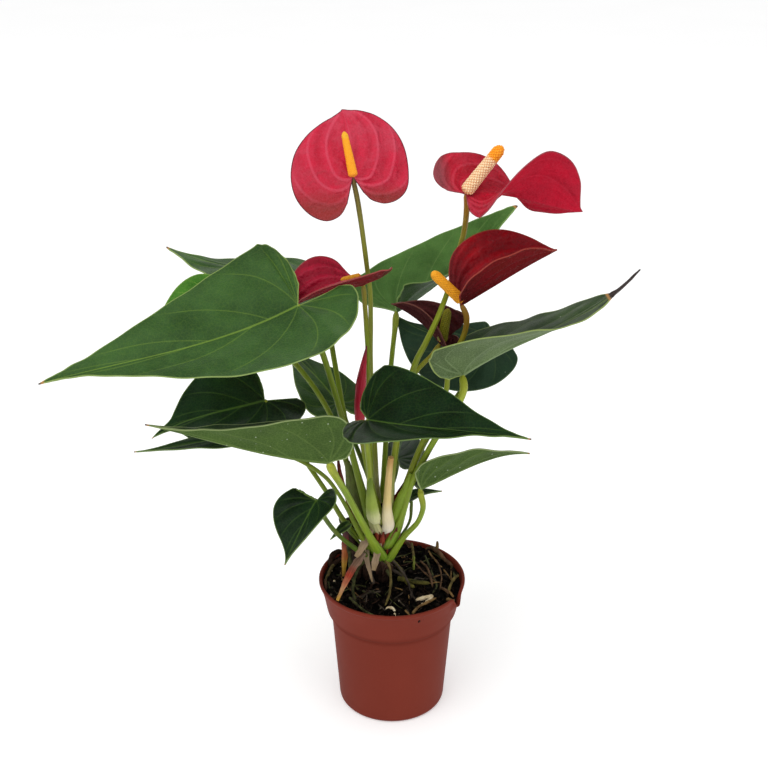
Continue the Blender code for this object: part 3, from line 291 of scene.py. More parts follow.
# Sheaths in front of the crown: look, points from the foot, width, shares of the width along it, and
# how far its edges stand forwards
CROWN_SHEATHS = (
    ("pale", [(-10, -5, 139), (-13, -14.5, 156), (-14.5, -20, 173), (-15, -27, 193)], 9.0, (0.5, 1.0, 0.72, 0.2), -0.3),
    ("olive", [(-19, -1, 138), (-25, -4, 160), (-28, -4, 178), (-31, -4, 194)], 9.0, (0.6, 1.0, 0.9, 0.35), -0.25),
    ("green", [(-4, -4, 133), (1, -7, 151), (7, -8, 168), (13, -7, 186)], 8.0, (0.35, 1.0, 0.9, 0.3), -0.3),
    ("red", [(-4, -3, 143), (-1, -3.5, 158), (3, -3, 167), (8, -3, 177)], 3.6, (1.0, 0.9, 0.6, 0.1), 0.2),
    ("red", [(-22, 0, 132), (-30, 3, 156), (-36, 5, 178), (-38, 5, 196)], 3.4, (0.7, 0.8, 1.0, 0.1), 0.2),
    ("core", [(-10, -5, 126), (-10.5, -8, 136), (-11.5, -9, 147)], 3.6, (1.0, 0.8, 0.5, 0.1), -0.2),
    ("core", [(-7, -6, 124), (-7, -9, 133), (-6, -10.5, 142)], 4.4, (0.9, 1.0, 0.7, 0.2), -0.2),
    ("core", [(-4, -5, 124), (-3.5, -7, 134), (-2, -7, 146)], 3.8, (1.0, 0.8, 0.6, 0.1), -0.2),
    ("papery", [(-13, -6, 144), (-17, -12, 139), (-21, -16, 133), (-25, -19, 127)], 5.0, (0.5, 1.0, 0.9, 0.6), 0.15),
    ("papery", [(-10, -8, 133), (-10.5, -13, 127), (-12, -16, 121), (-13, -17, 115)], 5.2, (1.0, 1.0, 0.85, 0.5), -0.2),
    ("papery", [(-17, -7, 128), (-18, -12, 123), (-16, -16, 115), (-14, -19, 107)], 3.6, (0.8, 1.0, 0.7, 0.15), -0.2),
)
# Old sheaths round the crown: compass angle, height of the foot, rise, lean outwards and width
OLD_SHEATHS = ((255, 128, 14, 4, 8), (285, 117, 16, 5, 9), (310, 122, 24, 9, 6), (230, 112, 12, 4, 7),
               (200, 120, 15, 6, 7), (20, 118, 18, 8, 7), (60, 126, 16, 6, 7), (110, 118, 14, 6, 8),
               (150, 122, 16, 6, 6), (340, 112, 12, 5, 7), (265, 108, 9, 3, 9), (300, 106, 9, 4, 8))
RED_SHEATHS = (1, 3, 6)

# Roots and bits on the soil: the two colours of each look
ROOT_COLOURS = {
    "grey": ((80, 70, 60), (32, 27, 22)),
    "brown": ((62, 43, 33), (25, 17, 12)),
    "olive": ((82, 84, 50), (28, 28, 16)),
    "lichen": ((122, 106, 60), (50, 44, 24)),
    "bark": ((112, 84, 60), (48, 33, 24)),
    "moss": ((102, 96, 44), (26, 28, 14)),
    "tan": ((140, 110, 68), (66, 46, 30)),
    "white": ((232, 218, 186), (178, 148, 104)),
    "green": ((132, 140, 62), (64, 74, 28)),
}
ROOT_LOOKS = {"1": "moss", "2": "olive", "3": "grey"}
# The look, points along the middle, and the radius at the start and at the end. Points without a
# height lie on the soil.
LITTER = (
    ("grey", [(-1, -2, 107), (5, -2, 103), (9, -3, 99), (12, -5, 96.5), (14, -9, 95)], 1.2, 0.8),
    ("green", [(16, 14, 108), (16, 13, 101), (16, 12, 94)], 1.0, 1.0),
    ("tan", [(27, 40, 98), (31, 27, 98), (36, 17, 97), (40, 9, 96), (43, 1, 95.5)], 0.8, 0.6),
    ("lichen", [(48, 4, 97.5), (45, 0, 98), (42, -8, 97.5), (40, -15, 96)], 1.3, 1.1),
    ("white", [(17, -25), (24, -21), (28, -20), (27, -23), (20, -30)], 1.5, 1.2),
    ("tan", [(14, -41, 95.5), (19, -34, 96.5), (25, -29, 96.5), (31, -22, 95.5)], 1.2, 0.9),
    ("white", [(-4, -36), (-2, -34), (1, -36), (2, -44)], 1.4, 0.9),
    ("olive", [(-28, 25), (-29, 4), (-25, -12), (-16, -19)], 1.0, 0.7),
    ("tan", [(-35, -9), (-28, -15), (-19, -27)], 0.7, 0.5),
    ("tan", [(30, 2, 97), (33, 4, 97.5), (37, 8, 96)], 0.5, 0.4),
    ("olive", [(25, 32), (29, 11), (32, -6), (29, -15)], 0.9, 0.7),
    ("brown", [(-16, -10), (-12, -6), (-9, -7)], 0.9, 0.7),
    ("tan", [(39, -22), (42, -23), (44, -24)], 1.1, 0.9),
    ("tan", [(33, 36, 98), (34, 35, 103), (34, 35, 108)], 1.5, 1.0),
    ("green", [(-27, -4, 147), (-24, -6, 145), (-21, -8, 138), (-19, -8, 129), (-16, -6, 122)], 1.4, 1.3),
    ("brown", [(-31, 2, 146), (-28, 0, 131), (-25, -1, 117), (-24, -1, 98)], 3.2, 3.4),
    ("olive", [(-37, 3, 150), (-34, 2, 135), (-30, 0, 119), (-29, 0, 98)], 1.7, 1.9),
    ("brown", [(-19, 3, 138), (-19, 0, 122), (-18, -2, 98)], 3.0, 3.2),
    ("lichen", [(-9, -5, 122), (-2, -9, 114), (-1, -17, 104), (-3, -24, 96.5), (-5, -31, 95)], 1.1, 0.8),
    ("olive", [(-14, -4, 118), (-22, -8, 114), (-27, -15, 105), (-27, -22, 98), (-23, -28, 95)], 1.2, 0.8),
    ("grey", [(-5, -3, 118), (3, -4, 112), (10, -9, 103), (13, -15, 97), (14, -22, 95)], 1.0, 0.7),
    ("moss", [(-1, 4, 112), (5, 3, 105), (9, -3, 100), (12, -8, 98), (16, -11, 97)], 1.3, 1.9),
    ("brown", [(-46, 18, 97), (-43, 22, 104), (-38, 25, 105), (-34, 26, 98)], 2.2, 1.8),
    ("brown", [(-45, 14, 97), (-41, 18, 100), (-37, 21, 101), (-33, 22, 97)], 1.8, 1.5),
    ("olive", [(-44, 20, 97), (-46, 8, 96.6), (-45, -6, 96), (-41, -18, 95), (-33, -29, 94)], 1.1, 0.9),
    ("grey", [(-43, 2, 97), (-42, -12, 96), (-35, -25, 95)], 0.8, 0.6),
    ("olive", [(46, 4, 96), (44, 17, 96), (38, 28, 97), (28, 37, 98)], 1.0, 0.8),
    ("bark", [(21, 23, 98), (26, 14, 98), (28, 3, 97), (29, -9, 96)], 0.9, 0.8),
    ("bark", [(26, 40, 98), (31, 38, 100), (35, 32, 100), (39, 26, 98), (43, 20, 97), (45, 18, 96)], 1.9, 1.3),
    ("bark", [(35, -10, 96), (38, -15, 97.5), (40, -18, 96)], 1.1, 0.9),
    ("bark", [(8, 46, 103), (12, 41, 103), (14, 38, 100)], 1.6, 1.4),
    ("bark", [(-48, -1, 97), (-47, -13, 96)], 1.2, 0.9),
    ("bark", [(-42, -24, 96), (-38, -21, 96.5)], 0.8, 0.6),
    ("bark", [(-11, -15, 96), (-10, -14, 97.5), (-6, -13, 96)], 1.0, 0.8),
    ("bark", [(33, 25, 98), (36, 5, 97.5), (34, -13, 96)], 0.6, 0.5),
    ("bark", [(15, 23, 99), (23, 8, 98), (32, -3, 96)], 0.6, 0.5),
    ("tan", [(40, -15, 96.5), (42, -19, 97), (43, -22, 96)], 0.8, 0.7),
    ("tan", [(38, -26, 97), (42, -28, 97.5)], 1.0, 0.8),
    ("tan", [(9, -38, 96), (12, -44, 95.5)], 0.8, 0.6),
    ("tan", [(44, 20, 96), (43, 6, 96.5), (43, -5, 96)], 0.5, 0.4),
    ("grey", [(1, 15, 101), (4, 10, 102), (8, 8, 100), (10, 1, 98), (13, -1, 96)], 0.8, 0.6),
    ("lichen", [(15, 39, 104), (16, 31, 101), (16, 20, 99)], 1.0, 1.0),
    ("lichen", [(-37, 22, 100), (-43, 15, 99), (-47, 2, 97), (-47, -2, 96)], 1.4, 1.1),
    ("olive", [(-30, -24, 97), (-25, -32, 97), (-19, -39, 96), (-12, -45, 95.5), (-6, -47, 95)], 1.0, 0.8),
    ("white", [(-45, 11), (-43.5, 10)], 0.8, 0.7),
    ("white", [(-42, -2), (-41, -3)], 0.8, 0.7),
)

# Studio: name, place, size in metres and power of each lamp, and whether it lights or is only reflected
LIGHTS = (
    ("key", (-0.7, -0.9, 2.4), 1.8, 24.0, True),
    ("fill", (1.6, -1.6, 1.1), 2.0, 6.0, True),
    ("sheen", (-0.3, 2.0, 1.3), 1.8, 5.0, False),
)
LIGHT_AIM = (0.0, 0.0, 0.2)
CAMERA_PLACE = (-5.7, -740.5, 565.8)
CAMERA_TILT = 66.9
CAMERA_LENS = 56.25



def srgb(red, green, blue):
    """Linear colour with alpha from screen values of 0 to 255."""
    parts = []
    for part in (red, green, blue):
        share = part / 255
        parts.append(share / 12.92 if share <= 0.04045 else ((share + 0.055) / 1.055)**2.4)
    return (*parts, 1.0)


# Looks of leaf blades: dark and light of the face, its veins, the underside and its veins, the margin
# line, roughness of the face, share of the length where the tip is dry, and how much it is specked
LEAF_LOOKS = {
    "mid": dict(dark=(44, 74, 32), light=(60, 95, 43), vein=(120, 150, 52), back=(72, 102, 52),
                back_vein=(128, 150, 84), edge=(150, 172, 92), rough=0.36, dry=0.985, specks=0.1),
    "dark": dict(dark=(9, 30, 11), light=(22, 50, 22), vein=(78, 108, 38), back=(62, 88, 50),
                 back_vein=(112, 134, 76), edge=(112, 138, 66), rough=0.33, dry=0.985, specks=0.15),
    "deep": dict(dark=(14, 40, 12), light=(28, 62, 22), vein=(80, 112, 42), back=(50, 76, 40),
                 back_vein=(100, 124, 66), edge=(96, 124, 60), rough=0.42, dry=0.985, specks=0.05),
    "bright": dict(dark=(48, 104, 22), light=(80, 140, 38), vein=(140, 176, 70), back=(96, 138, 52),
                   back_vein=(150, 176, 90), edge=(140, 170, 80), rough=0.4, dry=0.985, specks=0.0),
    "olive": dict(dark=(24, 46, 22), light=(42, 70, 34), vein=(110, 134, 60), back=(66, 90, 38),
                  back_vein=(100, 122, 60), edge=(150, 166, 110), rough=0.4, dry=0.985, specks=0.9),
    "blue": dict(dark=(26, 48, 34), light=(46, 72, 54), vein=(92, 116, 66), back=(60, 86, 56),
                 back_vein=(104, 126, 80), edge=(100, 126, 78), rough=0.36, dry=0.985, specks=0.3),
    "tailed": dict(dark=(36, 58, 28), light=(62, 86, 44), vein=(118, 140, 72), back=(88, 108, 66),
                   back_vein=(132, 152, 108), edge=(158, 176, 96), rough=0.4, dry=0.80, specks=0.2),
    # The fresh look's underside is painted shade: darker than its face, it stands for leaf 16's folded lobe in shadow
    "fresh": dict(dark=(56, 94, 32), light=(78, 120, 50), vein=(118, 150, 80), back=(40, 72, 26),
                  back_vein=(84, 112, 50), edge=(136, 168, 92), rough=0.42, dry=0.985, specks=0.0),
}
LEAF_KINDS = {"01": "mid", "02": "mid", "03": "bright", "04": "tailed", "05": "dark", "06": "mid",
              "07": "blue", "08": "olive", "09": "dark", "10": "dark", "11": "olive", "12": "dark",
              "13": "dark", "14": "dark", "15": "deep", "16": "fresh"}
LEAF_SLOTS = {"mid": "leaf_mid", "dark": "leaf_dark", "deep": "leaf_dark", "bright": "leaf_bright",
              "olive": "leaf_mid", "blue": "leaf_dark", "tailed": "leaf_mid", "fresh": "leaf_mid"}

# Looks of spathes: the face, its painted pale sheen, the colour of its painted shade in the hollows, the lobes
# behind the stalk, the outside, the margin line, the roughness, and the share of the length where the lobes' colour
# starts
SPATHE_LOOKS = {
    "1": dict(face=(202, 28, 60), bloom=(232, 104, 128), hollow=(162, 6, 34), lobe=(140, 44, 40),
              back=(150, 44, 52), edge=(84, 20, 38), rough=0.42, lobes=-0.12),
    "2": dict(face=(190, 16, 44), bloom=(214, 76, 98), hollow=(146, 6, 28), lobe=(134, 66, 72),
              back=(178, 20, 44), edge=(150, 60, 70), rough=0.36, lobes=-0.12),
    "3": dict(face=(156, 8, 22), bloom=(166, 40, 50), hollow=(96, 12, 20), lobe=(62, 24, 26),
              back=(96, 22, 20), edge=(150, 62, 52), rough=0.32, lobes=0.24),
    "4": dict(face=(168, 18, 48), bloom=(186, 52, 76), hollow=(118, 14, 32), lobe=(92, 56, 40),
              back=(104, 40, 34), edge=(150, 70, 66), rough=0.34, lobes=-0.12),
    "5": dict(face=(74, 20, 24), bloom=(92, 44, 46), hollow=(48, 16, 18), lobe=(70, 34, 34),
              back=(74, 36, 36), edge=(110, 66, 56), rough=0.36, lobes=-0.12),
}

# Spadices: colour of the knobs, of the painted shade in the gaps between them and of the bare tip, the share
# where the bare tip starts, how many knobs and how large they are
SPADIX_LOOKS = {
    "1": dict(knob=(246, 166, 28), gap=(236, 142, 18), tip=(236, 176, 40), bare=0.86, count=520, size=0.62,
              proud=0.25),
    "2": dict(knob=(250, 220, 176), gap=(240, 190, 140), tip=(252, 166, 34), bare=0.74, count=330, size=0.82,
              proud=0.85),
    "3": dict(knob=(240, 166, 26), gap=(206, 130, 20), tip=(244, 172, 36), bare=0.95, count=420, size=0.68,
              proud=0.5),
    "4": dict(knob=(214, 150, 30), gap=(180, 116, 20), tip=(220, 150, 30), bare=0.95, count=160, size=0.6,
              proud=0.5),
    "5": dict(knob=(136, 132, 28), gap=(104, 100, 20), tip=(140, 132, 30), bare=0.95, count=260, size=0.62,
              proud=0.5),
}

# Stalks: colour of the foot, the middle and the top
STALK_LOOKS = {
    "leaf": dict(foot=(92, 122, 26), middle=(116, 138, 30), top=(146, 158, 50)),
    "shade": dict(foot=(66, 94, 26), middle=(74, 100, 26), top=(100, 120, 40)),
    "lit": dict(foot=(108, 144, 36), middle=(134, 160, 44), top=(170, 178, 56)),
    "flower": dict(foot=(178, 186, 100), middle=(124, 142, 32), top=(150, 136, 46)),
    "pale": dict(foot=(220, 214, 166), middle=(134, 150, 38), top=(160, 154, 84)),
    "slender": dict(foot=(214, 210, 160), middle=(142, 150, 56), top=(112, 92, 44)),
    "amber": dict(foot=(200, 196, 130), middle=(132, 146, 34), top=(168, 112, 40)),
}
STALK_KINDS = {
    "leaf_stalk_01": "leaf", "leaf_stalk_02": "leaf", "leaf_stalk_03": "leaf", "leaf_stalk_04": "lit",
    "leaf_stalk_05": "pale", "leaf_stalk_06": "shade", "leaf_stalk_07": "leaf", "leaf_stalk_08": "lit",
    "leaf_stalk_09": "leaf", "leaf_stalk_10": "leaf", "leaf_stalk_11": "lit", "leaf_stalk_12": "shade",
    "leaf_stalk_13": "shade", "leaf_stalk_14": "shade", "leaf_stalk_15": "shade", "leaf_stalk_16": "leaf",
    "flower_stalk_1": "slender", "flower_stalk_2": "amber", "flower_stalk_3": "amber",
    "flower_stalk_4": "flower", "flower_stalk_5": "flower", "bud_stalk": "flower",
}


def unit(vector):
    """The vector at length 1."""
    vector = np.asarray(vector, float)
    return vector / np.linalg.norm(vector)


def turned(vector, axis, degrees):
    """The vector turned about the axis by the right-hand rule."""
    angle = math.radians(degrees)
    axis = unit(axis)
    along = axis * (axis @ vector) * (1 - math.cos(angle))
    return vector * math.cos(angle) + np.cross(axis, vector) * math.sin(angle) + along


def smooth(points, share):
    """Points on a smooth curve through the given ones, at shares from 0 to 1."""
    p = np.asarray(points, float)
    p = np.vstack([2 * p[0] - p[1], p, 2 * p[-1] - p[-2]])
    x = np.clip(np.asarray(share, float), 0, 1) * (len(p) - 3)
    i = np.minimum(x.astype(int), len(p) - 4)
    f = (x - i)[:, None]
    a, b, c, d = p[i], p[i + 1], p[i + 2], p[i + 3]
    return 0.5 * (2 * b + (c - a) * f + (2 * a - 5 * b + 4 * c - d) * f**2 + (3 * b - a - 3 * c + d) * f**3)


def blend(pair, right):
    """The left or right value of a pair, point by point."""
    return np.where(right, pair[1], pair[0])


class Blade:
    """A leaf blade or spathe: a midrib curve with a folded, curled half on each side of it.

    arch bends the midrib up and over at its two ends and sweep bends it sideways, in degrees.
    width is the half width as a share of the midrib, and wide scales it for each half.
    fold lifts each half from the midrib, tip_fold does so at the tip, and curl rolls it further.
    lobes lifts the back lobes, back scales their length, skew draws a half back from the tip and
    full makes its outline fuller. twist is an angle and the shares of the length it acts between.
    """

    SAMPLES = 200
    # Handles of the midrib's curve, the part of the length that the back lobes take up, and how the
    # lines to the margin lean: the midrib is left at RIB_RATE and RIB_POWER of the way round the outline
    REACH = 0.36
    LOBE_SHARE = 0.27
    RIB_RATE = 1.9
    RIB_POWER = 1.15

    def __init__(self, base, tip, roll=0, arch=(15, 20), sweep=(0, 0), width=0.35, wide=(1, 1), back=(1, 1),
                 fold=(0, 0), tip_fold=None, curl=(0, 0), lobes=(0, 0), twist=(0, 0, 1), outline=LEAF,
                 full=(1, 1), skew=(0, 0)):
        self.base = np.array(base, float)
        self.tip = np.array(tip, float)
        self.fold = fold
        self.tip_fold = tip_fold or fold
        self.curl = curl
        self.lobes = lobes
        self.twist = twist
        self.wide = wide
        self.back = back
        self.full = full
        self.skew = skew
        self.outlines = outline if len(outline) == 2 else (outline, outline)
        chord = unit(self.tip - self.base)
        up = np.array([0.0, 0.0, 1.0])
        normal = turned(unit(up - chord * (up @ chord)), chord, roll)
        side = np.cross(chord, normal)
        reach = self.REACH * np.linalg.norm(self.tip - self.base)
        start = turned(turned(chord, side, arch[0]), normal, -sweep[0])
        end = turned(turned(chord, side, -arch[1]), normal, -sweep[1])
        self.lay_midrib(self.base + start * reach, self.tip - end * reach, normal)
        self.half = width * self.length

    def lay_midrib(self, near, far, normal):
        """Midrib as a Bezier curve, with a normal carried along it."""
        s = np.linspace(0, 1, self.SAMPLES)[:, None]
        curve = (1 - s)**3 * self.base + 3 * (1 - s)**2 * s * near
        curve = curve + 3 * (1 - s) * s**2 * far + s**3 * self.tip
        steps = np.linalg.norm(np.diff(curve, axis=0), axis=1)
        walked = np.concatenate([[0], np.cumsum(steps)])
        self.length = walked[-1]
        tangents = np.gradient(curve, axis=0)
        tangents /= np.linalg.norm(tangents, axis=1)[:, None]
        normals = []
        for tangent in tangents:
            normal = unit(normal - tangent * (normal @ tangent))
            normals.append(normal)
        self.walked = walked / self.length
        self.rows = (curve, tangents, np.array(normals))

    def frame(self, along):
        """Point, tangent, normal and right-hand side on the midrib."""
        a = np.clip(along, 0, 1)
        found = []
        for rows in self.rows:
            found.append(np.stack([np.interp(a, self.walked, rows[:, k]) for k in range(3)], -1))
        point, tangent, normal = found
        tangent /= np.linalg.norm(tangent, axis=1)[:, None]
        side = np.cross(tangent, normal)
        side /= np.linalg.norm(side, axis=1)[:, None]
        normal = np.cross(side, tangent)
        angle, first, last = self.twist
        share = np.clip((along - first) / (last - first), 0, 1)
        turn = np.radians(angle) * (share * share * (3 - 2 * share))[:, None]
        normal = normal * np.cos(turn) + side * np.sin(turn)
        return point, tangent, normal, np.cross(tangent, normal)

    def surface(self, along, across):
        """Points of the sheet. across is a share of the half width, + on the right and - on the left."""
        right = across >= 0
        x = np.abs(across) * blend(self.wide, right) * self.half
        along = along - blend(self.skew, right) * x / self.length
        point, tangent, normal, side = self.frame(along)
        run = np.maximum(-along, 0) * self.length * blend(self.back, right)
        rate = np.radians(blend(self.lobes, right)) / (self.LOBE_SHARE * self.length) + 1e-9
        lift = (run * rate)[:, None]
        rate = rate[:, None]
        point = point - tangent * np.sin(lift) / rate + normal * (1 - np.cos(lift)) / rate
        normal = normal * np.cos(lift) + tangent * np.sin(lift)
        share = np.clip(along, 0, 1)
        fold = np.radians(blend(self.fold, right) * (1 - share) + blend(self.tip_fold, right) * share)
        bend = np.radians(blend(self.curl, right)) / self.half + 1e-9
        out = (np.sin(fold + bend * x) - np.sin(fold)) / bend
        lifted = (np.cos(fold) - np.cos(fold + bend * x)) / bend
        return point + side * (np.where(right, 1, -1) * out)[:, None] + normal * lifted[:, None]

    def half_lines(self, right, lines, steps):
        """Lines from the midrib to the margin on one side: along and across, one row a line."""
        t = np.linspace(0, 1, lines + 1)
        margin = smooth(self.outlines[1 if right else 0], t)
        rib = np.clip(1 - self.RIB_RATE * t, 0, 1)**self.RIB_POWER
        s = np.linspace(0, 1, steps + 1)
        along = rib[:, None] * (1 - s) + margin[:, :1] * s
        full = self.full[1 if right else 0]
        across = np.maximum(margin[:, 1:], 0)**(1 / full) * s
        return along, across if right else -across


def closest(a0, a1, b0, b1):
    """Shares along segments a and b of their closest points, row by row."""
    u, v, w = a1 - a0, b1 - b0, a0 - b0
    uu = (u * u).sum(1) + 1e-12
    uv = (u * v).sum(1)
    vv = (v * v).sum(1) + 1e-12
    uw = (u * w).sum(1)
    vw = (v * w).sum(1)
    s = np.clip((uv * vw - vv * uw) / np.maximum(uu * vv - uv * uv, 1e-9), 0, 1)
    t = np.clip((uv * s + vw) / vv, 0, 1)
    return np.clip((uv * t - uw) / uu, 0, 1), t


def crown_radius(height):
    """Radius of the crown stem at a height."""
    profile = np.array(CROWN_PROFILE)
    return np.interp(height, profile[:, 0], profile[:, 1])


def spread_stalks(stalks):
    """Stalk centre lines pushed apart until all keep their gap, each foot staying at the crown.

    stalks maps a name to its points and its radii. The upper ends stay where they are.
    """
    names = list(stalks)
    lines = np.array([stalks[name][0] for name in names])
    radii = np.array([stalks[name][1] for name in names])
    first = lines.copy()
    count = lines.shape[1]
    who, seg = np.divmod(np.arange(len(names) * (count - 1)), count - 1)
    i, j = np.triu_indices(len(who), 1)
    keep = who[i] != who[j]
    i, j = i[keep], j[keep]
    thick = np.maximum(radii[:, :-1], radii[:, 1:])[who, seg]
    free = np.ones(count)
    free[-2:] = 0
    axis = np.array([*CROWN_AXIS, 0.0])
    for _ in range(SPREAD_ROUNDS):
        a0, a1 = lines[who[i], seg[i]], lines[who[i], seg[i] + 1]
        b0, b1 = lines[who[j], seg[j]], lines[who[j], seg[j] + 1]
        s, t = closest(a0, a1, b0, b1)
        apart = a0 + (a1 - a0) * s[:, None] - b0 - (b1 - b0) * t[:, None]
        far = np.linalg.norm(apart, axis=1)
        need = thick[i] + thick[j] + 1.4 * GAP
        bad = far < need
        if bad.any():
            push = apart[bad] / (far[bad] + 1e-9)[:, None] * ((need - far)[bad] * 0.5)[:, None]
            for k, share, sign in ((i, s, 1), (j, t, -1)):
                rows, cols, part = who[k[bad]], seg[k[bad]], share[bad][:, None]
                np.add.at(lines, (rows, cols), sign * push * (1 - part) * 0.7)
                np.add.at(lines, (rows, cols + 1), sign * push * part * 0.7)
        from_axis = lines - axis
        from_axis[:, :, 2] = 0
        flat = np.linalg.norm(from_axis, axis=2)
        least = crown_radius(lines[:, :, 2]) + radii + GAP
        rise = lines[:, 1] - lines[:, 0]
        upright = rise[:, 2] / np.linalg.norm(rise, axis=1)
        least[:, 0] -= radii[:, 0] * (1 - upright)
        inside = (flat < least) & (lines[:, :, 2] < CROWN_PROFILE[-1][0])
        inside[:, 0] = True
        lines += from_axis * (inside * (least / (flat + 1e-9) - 1))[:, :, None]
        moved = lines - first
        middle = moved[:, 1:-1]
        even = 0.5 * (moved[:, :-2] + moved[:, 2:])
        moved[:, 1:-1] = middle + 0.10 * (even - middle)
        moved[:, 0, 2] *= 0.9
        lines = first + moved * free[None, :, None]
    return dict(zip(names, lines))


def stalk_line(points, end, foot_radius, top_radius):
    """Centre points and radii of a stalk: close rings at the foot, a thick foot and a swollen top."""
    share = np.linspace(0, 1, STALK_RINGS)**1.15
    line = smooth([*points, end], share)
    sheath = np.clip(1 - share / SHEATH_SHARE, 0, 1)**1.3
    radii = top_radius + (foot_radius - top_radius) * sheath
    radii[-2] *= 1.08
    return line, radii


def stalk_end(blade, points, radius):
    """Where a stalk stops under its blade: as near the sheet as its flat end can come."""
    steps = np.linspace(-0.12, 0.16, 15), np.linspace(-0.35, 0.35, 16)
    along, across = (grid.ravel() for grid in np.meshgrid(*steps))
    sheet = blade.surface(along, across)
    heading = unit(blade.base - np.array(points[-1], float))
    clear = MIDRIB_THICKNESS / 2 + GAP
    for back in np.arange(clear, 8.0, 0.1):
        end = blade.base - heading * back
        beyond = (sheet - end) @ heading
        beside = np.linalg.norm(sheet - end - beyond[:, None] * heading, axis=1) - radius
        if np.hypot(np.maximum(beyond, 0), np.maximum(beside, 0)).min() >= clear:
            break
    return end


def pot_inside():
    """Inner profile of the pot from the rim down to the floor: radius and height."""
    return [
        (POT_RIM_RADIUS - POT_LIP, POT_HEIGHT),
        (POT_COLLAR_TOP_RADIUS - POT_WALL, POT_HEIGHT - 3.0),
        (POT_COLLAR_FOOT_RADIUS - POT_WALL, POT_COLLAR_FOOT_HEIGHT + 1.0),
        (POT_BODY_TOP_RADIUS - POT_WALL, POT_BODY_TOP_HEIGHT + 2.0),
        (POT_BASE_RADIUS - POT_WALL, POT_FLOOR + 1.2),
        (POT_BASE_RADIUS - POT_WALL - 1.2, POT_FLOOR),
    ]


def soil_height(x, y):
    """Height of the soil's top: it rises to the back and the left, and levels out round the crown."""
    slope = SOIL_EDGE_HEIGHT + (SOIL_RISE[0] * x + SOIL_RISE[1] * y) / POT_RIM_RADIUS
    reach = np.hypot(x - CROWN_AXIS[0], y - CROWN_AXIS[1])
    share = np.clip((SOIL_MOUND_REACH - reach) / (SOIL_MOUND_REACH - SOIL_MOUND_FLAT), 0, 1)
    return slope + (SOIL_CROWN_HEIGHT - slope) * share * share * (3 - 2 * share)


def lay_soil_top(points, upper, inside):
    """Give the soil's top points their height, and stretch them out to the pot's flared wall."""
    rows = np.array(inside[1:][::-1])
    level = np.interp(SOIL_EDGE_HEIGHT, rows[:, 1], rows[:, 0])
    flat = points[upper, :2]
    wall = np.interp(soil_height(flat[:, 0], flat[:, 1]), rows[:, 1], rows[:, 0])
    flat *= (1 + (wall / level - 1) * np.hypot(flat[:, 0], flat[:, 1]) / level)[:, None]
    points[upper, :2] = flat
    points[upper, 2] = soil_height(flat[:, 0], flat[:, 1])


def grid_of(blade, spacing):
    """Lines and steps that keep the points of a blade's mesh about a spacing apart."""
    return max(int(1.5 * blade.length / spacing), 24), max(int(1.1 * blade.half / spacing), 9)


